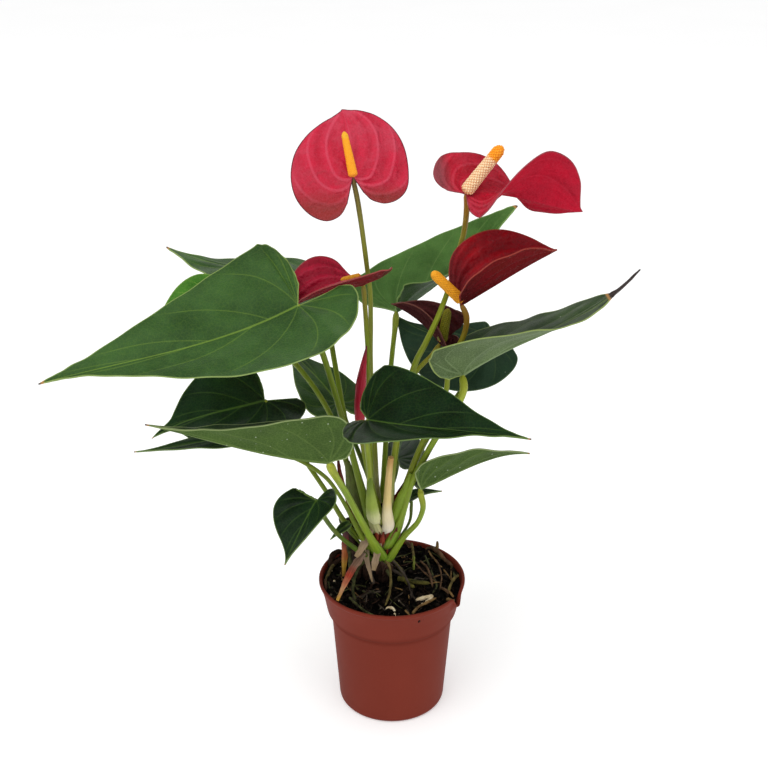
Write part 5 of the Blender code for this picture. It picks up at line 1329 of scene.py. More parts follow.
def leaf_face(kind):
    """Glossy upper side of a leaf, with pale veins and margin."""
    look = LEAF_LOOKS[kind]
    made, tree, shader = new_material(f"leaf_{kind}_face")
    marks = use_group(tree, "Blade Marks", Midrib_Width=1.5, Vein_Width=0.8, Margin_Width=0.75)
    skin = use_group(tree, "Plant Skin", Cell_Size=0.0021)
    patches = use_group(tree, "Mottle", Size=0.03, Detail=5.0)[0]
    colour = mixed(tree, patches, srgb(*look["dark"]), srgb(*look["light"]))
    colour = mixed(tree, calc(tree, "MULTIPLY", skin["Net"], 0.1), colour, srgb(*look["vein"]))
    colour = mixed(tree, calc(tree, "MULTIPLY", marks["Vein"], 0.26), colour, srgb(*look["vein"]))
    colour = mixed(tree, calc(tree, "MULTIPLY", marks["Midrib"], 0.6), colour, srgb(*look["vein"]))
    colour = mixed(tree, calc(tree, "MULTIPLY", marks["Margin"], 0.65), colour, srgb(*look["edge"]))
    colour = dry_tip(tree, colour, look["dry"])
    specks = use_group(tree, "Specks", Spacing=0.007, Share=0.3 * look["specks"])[0]
    colour = mixed(tree, calc(tree, "MULTIPLY", specks, 0.5), colour, srgb(190, 200, 180))
    rough = use_group(tree, "Mottle", Size=0.012, Detail=3.0)[0]
    rough = remap(tree, rough, 0.0, 1.0, look["rough"] - 0.05, look["rough"] + 0.08)
    set_up(tree, shader, Base_Color=colour, Roughness=rough, Specular_IOR_Level=0.4)
    bump(tree, shader, skin["Height"], 0.00012)
    return made


def dry_tip(tree, colour, start):
    """Colour of a blade with its tip dried to brown and dark purple past the start."""
    share = attribute(tree, "along")
    tan = remap(tree, share, start - 0.012, start)
    dark = remap(tree, share, start, start + 0.012)
    colour = mixed(tree, tan, colour, srgb(176, 128, 66))
    return mixed(tree, dark, colour, srgb(52, 38, 34))


def leaf_back(kind):
    """Matt underside of a leaf, mostly paler than the face; the fresh look's dark underside is painted shade."""
    look = LEAF_LOOKS[kind]
    made, tree, shader = new_material(f"leaf_{kind}_back")
    marks = use_group(tree, "Blade Marks", Midrib_Width=2.2, Vein_Width=1.0, Margin_Width=0.9)
    skin = use_group(tree, "Plant Skin", Cell_Size=0.0019)
    patches = use_group(tree, "Mottle", Size=0.02, Detail=5.0)[0]
    base = srgb(*look["back"])
    shade = (base[0] * 0.72, base[1] * 0.74, base[2] * 0.72, 1.0)
    colour = mixed(tree, patches, shade, base)
    colour = mixed(tree, calc(tree, "MULTIPLY", skin["Net"], 0.3), colour, srgb(*look["back_vein"]))
    colour = mixed(tree, calc(tree, "MULTIPLY", marks["Vein"], 0.3), colour, srgb(*look["back_vein"]))
    colour = mixed(tree, calc(tree, "MULTIPLY", marks["Midrib"], 0.65), colour, srgb(*look["back_vein"]))
    colour = mixed(tree, calc(tree, "MULTIPLY", marks["Margin"], 0.85), colour, srgb(*look["edge"]))
    colour = dry_tip(tree, colour, look["dry"])
    specks = use_group(tree, "Specks", Spacing=0.0042, Share=0.8 * look["specks"])[0]
    colour = mixed(tree, calc(tree, "MULTIPLY", specks, 0.55), colour, srgb(184, 194, 170))
    set_up(tree, shader, Base_Color=colour, Roughness=0.55, Specular_IOR_Level=0.1)
    bump(tree, shader, skin["Height"], 0.0002)
    return made


def spathe_side(number, side):
    """Waxy face or outside of a spathe, with a painted pale sheen in patches and on its raised veins, and painted shade
    in its hollows.
    """
    look = SPATHE_LOOKS[number]
    made, tree, shader = new_material(f"spathe_{number}_{side}")
    marks = use_group(tree, "Blade Marks", Midrib_Width=2.0, Vein_Width=1.3, Margin_Width=0.75)
    skin = use_group(tree, "Plant Skin", Cell_Size=0.0016)
    patches = use_group(tree, "Mottle", Size=0.014, Detail=4.0)[0]
    start = look["face"] if side == "face" else look["back"]
    # Painted shade: the hollow colour darkens the sheet between the veins, where shade falls, and also lies in random
    # patches
    deep = calc(tree, "MAXIMUM", calc(tree, "MULTIPLY", patches, 0.75), calc(tree, "MULTIPLY", marks["Pillow"], 0.6 if side == "face" else 0.2))
    colour = mixed(tree, deep, srgb(*start), srgb(*look["hollow"]))
    raised = calc(tree, "MAXIMUM", marks["Vein"], calc(tree, "MULTIPLY", marks["Midrib"], 0.6))
    # Painted sheen: pale pink patches that stand for reflected light, weaker on the outside; the raised veins get the
    # same painted highlight, and the fine net a faint touch of the pale colour
    bloom = calc(tree, "MULTIPLY", attribute(tree, "bloom"), calc(tree, "MULTIPLY", patches, 0.34))
    if side == "back":
        bloom = calc(tree, "MULTIPLY", bloom, 0.4)
    colour = mixed(tree, bloom, colour, srgb(*look["bloom"]))
    colour = mixed(tree, calc(tree, "MULTIPLY", raised, 0.22 if side == "face" else 0.08), colour, srgb(*look["bloom"]))
    lobe = attribute(tree, "lobe")
    colour = mixed(tree, calc(tree, "MULTIPLY", lobe, 0.95), colour, srgb(*look["lobe"]))
    colour = mixed(tree, calc(tree, "MULTIPLY", skin["Net"], 0.10), colour, srgb(*look["bloom"]))
    colour = mixed(tree, calc(tree, "MULTIPLY", marks["Margin"], 0.9), colour, srgb(*look["edge"]))
    set_up(tree, shader, Base_Color=colour, Roughness=look["rough"] if side == "face" else 0.75,
           Specular_IOR_Level=0.3 if side == "face" else 0.05)
    puckers = use_group(tree, "Mottle", Size=0.007, Detail=2.0)[0]
    bump(tree, shader, calc(tree, "MULTIPLY_ADD", skin["Height"], 0.12, puckers), 0.0009)
    return made


def stalk_skin(kind, name=None):
    """Skin of a stalk: streaked, paler at the foot, another colour at the joint below the blade."""
    look = STALK_LOOKS[kind]
    made, tree, shader = new_material(name or f"stalk_{kind}")
    share = attribute(tree, "share")
    streaks = use_group(tree, "Streaks", Width=0.0009, Stretch=0.04)[0]
    patches = use_group(tree, "Mottle", Size=0.012, Detail=3.0)[0]
    colour = mixed(tree, remap(tree, share, 0.0, 0.22), srgb(*look["foot"]), srgb(*look["middle"]))
    colour = mixed(tree, remap(tree, share, 0.75, 1.0), colour, srgb(*look["top"]))
    dark = calc(tree, "MULTIPLY", calc(tree, "SUBTRACT", 1.0, streaks), 0.36)
    colour = mixed(tree, dark, colour, srgb(80, 100, 20), "MULTIPLY")
    colour = mixed(tree, calc(tree, "MULTIPLY", patches, 0.25), colour, srgb(126, 126, 48))
    specks = use_group(tree, "Specks", Spacing=0.003, Share=0.2, Radius=0.1)[0]
    colour = mixed(tree, calc(tree, "MULTIPLY", specks, 0.5), colour, srgb(170, 180, 120))
    set_up(tree, shader, Base_Color=colour, Roughness=0.42, Specular_IOR_Level=0.22)
    bump(tree, shader, streaks, 0.00015)
    return made


def spadix_skin(number):
    """Knobs, painted shade in the gaps between them, and bare tip of a spadix."""
    look = SPADIX_LOOKS[number]
    made, tree, shader = new_material(f"spadix_{number}_skin")
    share = attribute(tree, "share")
    grain = noise(tree, object_place(tree), 0.0005, 2.0)
    # Painted shade: the gap colour darkens the core between the knobs, where shade falls
    colour = mixed(tree, remap(tree, attribute(tree, "knob"), 0.2, 0.8), srgb(*look["gap"]), srgb(*look["knob"]))
    tip = remap(tree, share, look["bare"] - 0.03, look["bare"] + 0.03)
    colour = mixed(tree, tip, colour, srgb(*look["tip"]))
    foot = remap(tree, share, 0.0, 0.08, 1.0, 0.0)
    colour = mixed(tree, calc(tree, "MULTIPLY", foot, 0.7), colour, srgb(214, 110, 28))
    set_up(tree, shader, Base_Color=colour, Roughness=0.5, Specular_IOR_Level=0.4)
    bump(tree, shader, grain, 0.0001)
    return made


def bud_skin():
    """Rolled bud: dark at the tip, red in the middle and green-brown at the foot."""
    made, tree, shader = new_material("bud_skin")
    share = attribute(tree, "share")
    streaks = use_group(tree, "Streaks", Width=0.0009, Stretch=0.06)[0]
    colour = mixed(tree, remap(tree, share, 0.0, 0.16), srgb(122, 90, 52), srgb(164, 18, 42))
    colour = mixed(tree, remap(tree, share, 0.8, 1.0), colour, srgb(84, 26, 44))
    colour = mixed(tree, calc(tree, "MULTIPLY", streaks, 0.16), colour, srgb(206, 84, 100))
    colour = mixed(tree, remap(tree, attribute(tree, "edge"), 0.5, 1.0), colour, srgb(92, 14, 34))
    set_up(tree, shader, Base_Color=colour, Roughness=0.4, Specular_IOR_Level=0.2)
    bump(tree, shader, streaks, 0.00012)
    return made


def papery_skin(name, stops, dirt=0.3):
    """Dry or ageing scale leaf whose colour runs through the stops from its foot to its tip."""
    made, tree, shader = new_material(name)
    share = attribute(tree, "share")
    streaks = use_group(tree, "Streaks", Width=0.0008, Stretch=0.05)[0]
    colour = srgb(*stops[0][1])
    for (before, _), (place, tint) in zip(stops, stops[1:]):
        colour = mixed(tree, remap(tree, share, before, place), colour, srgb(*tint))
    dark = calc(tree, "MULTIPLY", calc(tree, "SUBTRACT", 1.0, streaks), min(2.0 * dirt, 0.55))
    colour = mixed(tree, dark, colour, srgb(120, 92, 70), "MULTIPLY")
    patches = use_group(tree, "Mottle", Size=0.004, Detail=4.0)[0]
    colour = mixed(tree, calc(tree, "MULTIPLY", patches, dirt), colour, srgb(70, 44, 34))
    set_up(tree, shader, Base_Color=colour, Roughness=0.55, Specular_IOR_Level=0.25)
    bump(tree, shader, streaks, 0.0002)
    return made


def root_skin(name, light, dark):
    """Skin of an aerial root, patchy and grained along its length."""
    made, tree, shader = new_material(name)
    streaks = use_group(tree, "Streaks", Width=0.0008, Stretch=0.12)[0]
    patches = use_group(tree, "Mottle", Size=0.005, Detail=5.0)[0]
    colour = mixed(tree, patches, srgb(*dark), srgb(*light))
    colour = mixed(tree, calc(tree, "MULTIPLY", streaks, 0.35), colour, srgb(*light))
    set_up(tree, shader, Base_Color=colour, Roughness=0.75, Specular_IOR_Level=0.12)
    bump(tree, shader, streaks, 0.0002)
    return made


def crown_bark():
    """Brown skin of the crown stem, with fibres and reddish scars; its very dark browns are partly painted shade."""
    made, tree, shader = new_material("crown_bark")
    place = object_place(tree)
    fibres = put(tree, "ShaderNodeMapping", {"Vector": place, "Scale": (1.0, 1.0, 0.25)}).outputs[0]
    fibres = noise(tree, fibres, 0.0012, 4.0, 0.65)
    patches = use_group(tree, "Mottle", Size=0.006, Detail=4.0)[0]
    # Partly painted shade: the bark's browns are kept very dark to stand for the crown's shade deep under the leaves
    colour = mixed(tree, remap(tree, fibres, 0.35, 0.65), srgb(16, 12, 9), srgb(46, 34, 26))
    colour = mixed(tree, calc(tree, "MULTIPLY", patches, 0.5), colour, srgb(50, 30, 22))
    set_up(tree, shader, Base_Color=colour, Roughness=0.8, Specular_IOR_Level=0.15)
    bump(tree, shader, fibres, 0.0006)
    return made


def soil_matter(name, dark, light, grain=0.0016):
    """Moist peat and bark."""
    made, tree, shader = new_material(name)
    place = object_place(tree)
    coarse = noise(tree, place, grain * 2.4, 5.0, 0.7)
    fine = noise(tree, place, grain * 0.4, 4.0, 0.7)
    colour = mixed(tree, remap(tree, coarse, 0.42, 0.72), dark, light)
    colour = mixed(tree, remap(tree, fine, 0.62, 0.8, 0.0, 0.3), colour, srgb(48, 36, 28))
    rough = remap(tree, fine, 0.3, 0.7, 0.62, 0.95)
    set_up(tree, shader, Base_Color=colour, Roughness=rough, Specular_IOR_Level=0.1)
    both = calc(tree, "MULTIPLY_ADD", fine, 0.5, coarse)
    bump(tree, shader, both, 0.0012)
    return made


def pot_plastic():
    """Matt moulded plastic with faint scuffs, some soil near the rim and painted shade below the collar."""
    colours = bpy.context.scene.anthurium_colours
    made, tree, shader = new_material("pot_moulded_plastic")
    place = object_place(tree)
    base = (*colours.pot, 1.0)
    patches = use_group(tree, "Mottle", Size=0.05, Detail=2.0)[0]
    colour = mixed(tree, patches, tuple(0.92 * part for part in base[:3]) + (1.0,), base)
    parts = put(tree, "ShaderNodeSeparateXYZ", {0: place}).outputs
    fine = noise(tree, place, 0.0007, 3.0, 0.6)
    colour = mixed(tree, remap(tree, fine, 0.35, 0.75, 0.0, 0.12), colour, srgb(132, 58, 44))
    scuffs = put(tree, "ShaderNodeMapping", {"Vector": place, "Scale": (1.0, 1.0, 3.0)}).outputs[0]
    scuffs = remap(tree, noise(tree, scuffs, 0.005, 6.0, 0.75), 0.64, 0.74, 0.0, 0.12)
    colour = mixed(tree, scuffs, colour, srgb(176, 104, 88))
    soiled = remap(tree, noise(tree, place, 0.003, 5.0, 0.7), 0.58, 0.66)
    soiled = calc(tree, "MULTIPLY", soiled, remap(tree, parts[2], 0.088, 0.1, 0.0, 0.4))
    colour = mixed(tree, soiled, colour, srgb(52, 28, 22))
    specks = use_group(tree, "Specks", Spacing=0.02, Share=0.1, Radius=0.05)[0]
    colour = mixed(tree, calc(tree, "MULTIPLY", specks, 0.7), colour, srgb(60, 20, 18))
    # Painted shade: a soft dark band in the step below the collar, where shade falls; it is rougher there too
    above = remap(tree, parts[2], 0.0685, 0.0725)
    below = remap(tree, parts[2], 0.0735, 0.0785, 1.0, 0.0)
    painted_collar_shade = calc(tree, "MULTIPLY", calc(tree, "MULTIPLY", above, below), 0.3)
    colour = mixed(tree, painted_collar_shade, colour, srgb(74, 30, 24))
    set_up(tree, shader, Base_Color=colour, Roughness=calc(tree, "MULTIPLY_ADD", painted_collar_shade, 1.3, 0.6),
           Specular_IOR_Level=0.08)
    bump(tree, shader, fine, 0.00005)
    return made


def floor_surface():
    """Pale matt floor with the faintest unevenness."""
    colours = bpy.context.scene.anthurium_colours
    made, tree, shader = new_material("pale_floor")
    patches = use_group(tree, "Mottle", Size=0.4, Detail=3.0)[0]
    base = (*colours.floor, 1.0)
    colour = mixed(tree, patches, base, tuple(0.985 * part for part in base[:3]) + (1.0,))
    set_up(tree, shader, Base_Color=colour, Roughness=0.9, Specular_IOR_Level=0.1, Emission_Color=(1.0, 1.0, 1.0, 1.0),
           Emission_Strength=bpy.context.scene.anthurium_sizes.floor_glow)
    return made


# Pieces

def hand_over(piece, slot, *nodes):
    """Place a finished piece on the part: the CAD nodes that it stands for and its body; slot is not used."""
    if nodes:
        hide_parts(*nodes)
    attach(piece, "root")
    return piece


def make_blade_shapes():
    """The curved sheets that all blades, stalks and spadices start from."""
    blades = {"leaf_" + number: Blade(**shape) for number, shape in LEAVES.items()}
    for number, shape in SPATHES.items():
        blades["spathe_" + number] = Blade(**{"outline": SPATHE, **shape})
    return blades


def made_once(name, maker, *given):
    """A material that is made when it is first asked for."""
    return bpy.data.materials.get(name) or maker(*given)


def build_leaves():
    sizes = bpy.context.scene.anthurium_sizes
    for number, shape in LEAVES.items():
        blade = Blade(**shape)
        kind = LEAF_KINDS[number]
        sheet = Sheet(blade, sizes.blade_spacing / MM, False)
        marks = {"rib": sheet.rib, "margin": sheet.margin, "along": sheet.along, "gain": sheet.gain}
        materials = [made_once(f"leaf_{kind}_face", leaf_face, kind),
                     made_once(f"leaf_{kind}_back", leaf_back, kind)]
        relief = leaf_relief(sheet, int(number))
        piece = sheet_object(f"leaf_{number}_blade", sheet, relief, LEAF_MARGIN_THICKNESS, marks, materials)
        hand_over(piece, LEAF_SLOTS[kind], "leaf_" + number)


def build_spathes():
    sizes = bpy.context.scene.anthurium_sizes
    for number, shape in SPATHES.items():
        blade = Blade(**{"outline": SPATHE, **shape})
        sheet = Sheet(blade, 0.8 * sizes.blade_spacing / MM, True)
        edge = np.clip(1 - sheet.margin / 12, 0, 1)
        # Where the pale sheen is painted: a little everywhere, more near the margin and on the lines nearer the tip
        bloom = np.clip(0.3 + 0.25 * edge + 0.6 * (sheet.line < 0.45) * (1 - sheet.line), 0, 1)
        lobe = np.clip((SPATHE_LOOKS[number]["lobes"] - sheet.along) / 0.3, 0, 1)
        marks = {"rib": sheet.rib, "margin": sheet.margin, "along": sheet.along, "gain": sheet.gain,
                 "bloom": bloom, "lobe": lobe}
        materials = [spathe_side(number, "face"), spathe_side(number, "back")]
        relief = spathe_relief(sheet, 50 + int(number))
        piece = sheet_object(f"spathe_{number}_sheet", sheet, relief, SPATHE_MARGIN_THICKNESS, marks, materials)
        hand_over(piece, "spathe_maroon" if number == "5" else "spathe_red", "spathe_" + number)


def stalk_routes(blades):
    """Centre points and radii of every stalk, clear of one another as in the solid part."""
    routes = {}
    for number, (points, foot, top) in LEAF_STALKS.items():
        end = stalk_end(blades["leaf_" + number], points, top)
        routes["leaf_stalk_" + number] = stalk_line(points, end, foot, top)
    for number, (points, foot, top) in FLOWER_STALKS.items():
        end = stalk_end(blades["spathe_" + number], points, top)
        routes["flower_stalk_" + number] = stalk_line(points, end, foot, top)
    for name, (points, foot, top) in zip(FREE_TOPS, (BUD_STALK, CUT_STUB)):
        routes[name] = stalk_line(points[:-1], points[-1], foot, top)
    lines = spread_stalks(routes)
    return {name: (lines[name], routes[name][1]) for name in routes}


def stalk_path(name, line, radii, blades):
    """A stalk's fine centre line, rooted in the crown and run on into its blade, with its girth."""
    sizes = bpy.context.scene.anthurium_sizes
    outward = line[0] - (*CROWN_AXIS, line[0][2])
    outward = outward / np.linalg.norm(outward)
    root = line[0] - outward * 2.6 - (0, 0, 3.5)
    tops = [] if name in FREE_TOPS else [blades[name.replace("leaf_stalk", "leaf").replace("flower_stalk", "spathe")].base]
    line = np.vstack([root, line, *tops])
    radii = np.concatenate([[0.9 * radii[0]], radii, [radii[-1]] * len(tops)])
    share = np.linspace(0, 1, sizes.stalk_points)
    girth = np.interp(share * (len(radii) - 1), np.arange(len(radii)), radii)
    line = smooth(line, share)
    steps = np.linalg.norm(np.diff(line, axis=0), axis=1)
    run = np.concatenate([[0], np.cumsum(steps)])
    left = run[-1] - run
    if name.startswith("leaf"):
        girth = girth * (1 + JOINT_SWELL * np.exp(-((left - JOINT_REACH) / JOINT_REACH)**2))
    if name not in FREE_TOPS:
        girth = girth * np.interp(left, (0, 3), (0.55, 1))
    else:
        girth = girth * np.interp(left, (0, 0.8), (0.85, 1))
    foot = np.clip(1 - run / SHEATH_REACH, 0, 1)
    if name == "cut_stub":
        girth = np.interp(share, STUB_SHARES, STUB_GIRTH)
        foot = 0 * foot
    across = np.cross((0, 0, 1), outward)
    return line, {"girth": girth, "spread": SHEATH_SPREAD * foot**0.8, "wide": np.tile(across, (len(line), 1))}


def build_stalks():
    sizes = bpy.context.scene.anthurium_sizes
    blades = make_blade_shapes()
    for name, (line, radii) in stalk_routes(blades).items():
        if name == "cut_stub":
            made = papery_skin("cut_stub_skin", STUB_STOPS, 0.06)
        else:
            kind = STALK_KINDS[name]
            made = made_once(f"stalk_{kind}", stalk_skin, kind)
        values = {"Sides": sizes.stalk_sides, "Lump Height": 0.0003, "Lump Size": 0.012, "Material": made}
        piece = grown(name + "_skin", path_mesh([stalk_path(name, line, radii, blades)]), "Tubes", values)
        hand_over(piece, "sheath_tan" if name == "cut_stub" else "stalk_green", name)


def build_crown():
    heights = np.linspace(CROWN_PROFILE[0][0] - 3, CROWN_PROFILE[-1][0], 64)
    line = np.array([(*CROWN_AXIS, height) for height in heights])
    girth = crown_radius(heights) * (1.04 + 0.05 * np.sin(heights * 0.9) + 0.04 * np.sin(heights * 2.3))
    values = {"Sides": 56, "Lump Height": 0.0022, "Lump Size": 0.0045, "Material": crown_bark()}
    piece = grown("crown_bark_stem", path_mesh([(line, {"girth": girth})]), "Tubes", values)
    hand_over(piece, "crown_skin", "crown_stem")
    made = {look: papery_skin(f"sheath_{look}", stops, dirt) for look, (stops, dirt) in SHEATH_LOOKS.items()}
    rng = np.random.default_rng(5)
    for number, (angle, height, rise, lean, width) in enumerate(OLD_SHEATHS, 1):
        turn = math.radians(angle)
        out = np.array([math.cos(turn), math.sin(turn), 0.0])
        foot = np.array([*CROWN_AXIS, height]) + out * (crown_radius(height) + 0.3)
        line = [foot - (0, 0, 3), foot + out * 0.25 * lean + (0, 0, 0.35 * rise),
                foot + out * 0.7 * lean + (0, 0, 0.75 * rise), foot + out * lean + (0, 0, rise)]
        side = np.cross((0, 0, 1), out) + rng.normal(0, 0.08, 3)
        mesh = ribbon(line, width, 0.45, side, 0.22, 3)
        mesh.materials.append(made["red" if number in RED_SHEATHS else "old"])
        hand_over(add_object(f"old_sheath_{number}", mesh), "bract_red" if number in RED_SHEATHS else "crown_skin")
    for number, (look, points, width, taper, cup) in enumerate(CROWN_SHEATHS, 1):
        mesh = ribbon(points, width, 0.5, (1, 0, 0.05), cup, 40 + number, taper)
        mesh.materials.append(made[look])
        hand_over(add_object(f"crown_sheath_{number}_{look}", mesh), SHEATH_SLOTS[look])


def ribbon(points, width, thickness, side, cup, seed, taper=(0.9, 1.0, 0.75, 0.15), columns=9, steps=44):
    """Closed, dished strip along a line, with a frayed edge and marks along and across it."""
    rng = np.random.default_rng(seed)
    share = np.linspace(0, 1, steps)
    line = smooth(points, share)
    tangents = np.gradient(line, axis=0)
    tangents /= np.linalg.norm(tangents, axis=1)[:, None]
    side = np.asarray(side, float) - tangents * (tangents @ np.asarray(side, float))[:, None]
    side /= np.linalg.norm(side, axis=1)[:, None]
    up = np.cross(side, tangents)
    half = np.interp(share, np.linspace(0, 1, len(taper)), taper) * width / 2
    fray = 1 + 0.06 * np.convolve(rng.normal(0, 1, steps + 4), np.ones(5) / 2.2, "valid")
    across = np.linspace(-1, 1, columns)
    out = across[None, :] * (half * fray)[:, None]
    lift = cup * width * (across[None, :]**2 - 0.4) * (half / half.max())[:, None]
    sheet = line[:, None] + side[:, None] * out[..., None] + up[:, None] * lift[..., None]
    index = np.arange(steps * columns).reshape(steps, columns)
    quads = np.stack([index[:-1, :-1], index[:-1, 1:], index[1:, 1:], index[1:, :-1]], -1).reshape(-1, 4)
    flat = sheet.reshape(-1, 3)
    normals = np.zeros_like(flat)
    a, b, c, d = (flat[quads[:, k]] for k in range(4))
    for k in range(4):
        np.add.at(normals, quads[:, k], np.cross(c - a, d - b))
    normals /= np.linalg.norm(normals, axis=1)[:, None]
    upper, lower = flat + normals * thickness / 2, flat - normals * thickness / 2
    border = np.concatenate([index[0, :-1], index[:-1, -1], index[-1, :0:-1], index[:0:-1, 0]])
    rims = []
    for a, b in zip(border, np.roll(border, -1)):
        rims.append([b, a, a + len(flat), b + len(flat)])
    faces = quads.tolist() + (quads[:, ::-1] + len(flat)).tolist() + rims
    mesh = bpy.data.meshes.new("ribbon")
    mesh.from_pydata(np.vstack([upper, lower]) * MM, [], faces)
    length = np.linalg.norm(np.diff(line, axis=0), axis=1).sum()
    along = np.repeat(share, columns)
    over = np.tile(across, steps)
    ring = np.stack([over, np.zeros_like(over), np.zeros_like(over)], 1)
    for label, values in {"share": along, "run": along * length * MM, "girth": np.full(len(along), width * MM / 2),
                          "ring": ring, "edge": np.abs(over)}.items():
        add_attribute(mesh, label, np.concatenate([values, values]))
    mesh.shade_smooth()
    mesh.set_sharp_from_angle(angle=math.radians(60))
    return mesh


def build_bracts():
    for number, (points, width, thickness) in BRACTS.items():
        made = papery_skin(f"bract_{number}_skin", BRACT_STOPS[number])
        mesh = ribbon(points, width, thickness, (1, -0.35, 0.1), 0.16, 11 * int(number),
                      taper=(0.55, 0.95, 1.0, 0.8, 0.5, 0.28))
        mesh.materials.append(made)
        hand_over(add_object(f"bract_{number}_scale", mesh), "bract_red", "bract_" + number)


def build_spadices():
    for number, (start, end, foot, top) in SPADICES.items():
        look = SPADIX_LOOKS[number]
        start, end = np.array(start, float), np.array(end, float)
        root = start - (end - start) / np.linalg.norm(end - start) * 2.5
        length = np.linalg.norm(end - root)
        share = (1 - np.cos(np.linspace(0, math.pi, 48))) / 2
        full = foot + (top - foot) * share
        ends = np.sqrt(np.clip(1 - np.clip(1 - share * length / (0.6 * foot), 0, 1)**2, 0, 1))
        tips = np.sqrt(np.clip(1 - np.clip(1 - (1 - share) * length / (1.3 * top), 0, 1)**2, 0, 1))
        girth = np.maximum(full * ends * tips, 0.05 * top) - 0.3 * look["proud"] * look["size"]
        girth = np.maximum(girth, 0.05)
        line = root + (end - root) * share[:, None]
        values = {"Count": look["count"], "Size": look["size"] * MM, "Proud": look["proud"],
                  "Material": spadix_skin(number)}
        piece = grown(f"spadix_{number}_florets", path_mesh([(line, {"girth": girth})]), "Florets", values)
        hand_over(piece, "spadix_yellow", "spadix_" + number)


def build_bud():
    """Bud whose rolled edge winds round it as a step."""
    start, end, radius = np.array(BUD[0], float), np.array(BUD[1], float), BUD[2]
    rings, sides = 90, 72
    share = np.linspace(0, 1, rings)
    girth = 0.88 * radius * np.interp(share, BUD_SHARES, BUD_GIRTH)
    kernel = np.ones(9) / 9
    girth = np.convolve(np.pad(girth, 4, mode="edge"), kernel, "valid")
    line = start + (end - start) * share[:, None] + np.array(BUD_BOW) * np.sin(share * math.pi)[:, None]
    angle = np.arange(sides) * TAU / sides
    wound = (angle[None, :] / TAU - 0.9 * share[:, None] - 0.05) % 1
    around = 0.93 + 0.13 * wound
    x = np.cos(angle)[None, :] * girth[:, None] * around
    y = np.sin(angle)[None, :] * girth[:, None] * around
    points = line[:, None] + x[..., None] * np.array([1, 0, 0]) + y[..., None] * np.array([0, 1, 0])
    index = np.arange(rings * sides).reshape(rings, sides)
    after = np.roll(index, -1, axis=1)
    quads = np.stack([index[:-1], after[:-1], after[1:], index[1:]], -1).reshape(-1, 4).tolist()
    quads += [index[0, ::-1].tolist(), index[-1].tolist()]
    mesh = bpy.data.meshes.new("bud")
    mesh.from_pydata(points.reshape(-1, 3) * MM, [], quads)
    ring = np.stack([np.tile(np.cos(angle), rings), np.tile(np.sin(angle), rings), np.zeros(rings * sides)], 1)
    for label, values in {"share": np.repeat(share, sides), "run": np.repeat(share * 0.06, sides), "ring": ring,
                          "girth": np.repeat(girth * MM, sides), "edge": np.clip((wound.ravel() - 0.9) * 10, 0, 1)}.items():
        add_attribute(mesh, label, values)
    mesh.shade_smooth()
    mesh.materials.append(bud_skin())
    hand_over(add_object("bud_rolled", mesh), "spathe_red", "bud")


def revolve(profile, sides):
    """Points and faces turned about +Z. The profile runs from the axis, over the shape, to the axis."""
    angle = np.arange(sides) * TAU / sides
    points = [(0.0, 0.0, profile[0][1])]
    rings = []
    for radius, height in profile[1:-1]:
        rings.append(np.arange(len(points), len(points) + sides))
        points.extend(zip(radius * np.cos(angle), radius * np.sin(angle), np.full(sides, height)))
    points.append((0.0, 0.0, profile[-1][1]))
    faces = []
    for upper, lower in zip(rings, rings[1:]):
        faces += np.stack([upper, lower, np.roll(lower, -1), np.roll(upper, -1)], 1).tolist()
    faces += [[0, a, b] for a, b in zip(rings[0], np.roll(rings[0], -1))]
    faces += [[len(points) - 1, b, a] for a, b in zip(rings[-1], np.roll(rings[-1], -1))]
    return np.array(points), faces


def rounded(profile, radius, steps=5):
    """Profile with its corners rounded and its long runs divided."""
    made = [profile[0]]
    for before, corner, after in zip(profile, profile[1:], profile[2:]):
        corner = np.array(corner, float)
        to_before, to_after = np.array(before) - corner, np.array(after) - corner
        reach_before, reach_after = np.linalg.norm(to_before), np.linalg.norm(to_after)
        start = corner + to_before * min(radius / reach_before, 0.45)
        end = corner + to_after * min(radius / reach_after, 0.45)
        for t in np.linspace(0, 1, steps):
            made.append(tuple((1 - t)**2 * start + 2 * t * (1 - t) * corner + t * t * end))
    made.append(profile[-1])
    fine = [made[0]]
    for before, after in zip(made, made[1:]):
        parts = max(int(np.hypot(after[0] - before[0], after[1] - before[1]) / PROFILE_STEP), 1)
        fine.extend(tuple(np.array(before) + (np.array(after) - before) * (k + 1) / parts) for k in range(parts))
    return fine


def tear(points):
    """Rim of the pot torn down in a ragged notch, its edge bent outwards beside it."""
    angles = np.degrees(np.arctan2(points[:, 1], points[:, 0]))
    off = angles - TEAR_ANGLE
    down = np.interp(off, *zip(*TEAR_SHAPE))
    reach = np.clip((points[:, 2] - POT_HEIGHT) / TEAR_REACH + 1, 0, 1)
    bent = np.interp(off, *zip(*TEAR_BEND)) * reach**2
    radius = np.hypot(points[:, 0], points[:, 1]) + 1e-9
    torn = points.copy()
    torn[:, 2] -= down * reach
    torn[:, :2] *= (1 + bent / radius)[:, None]
    return torn


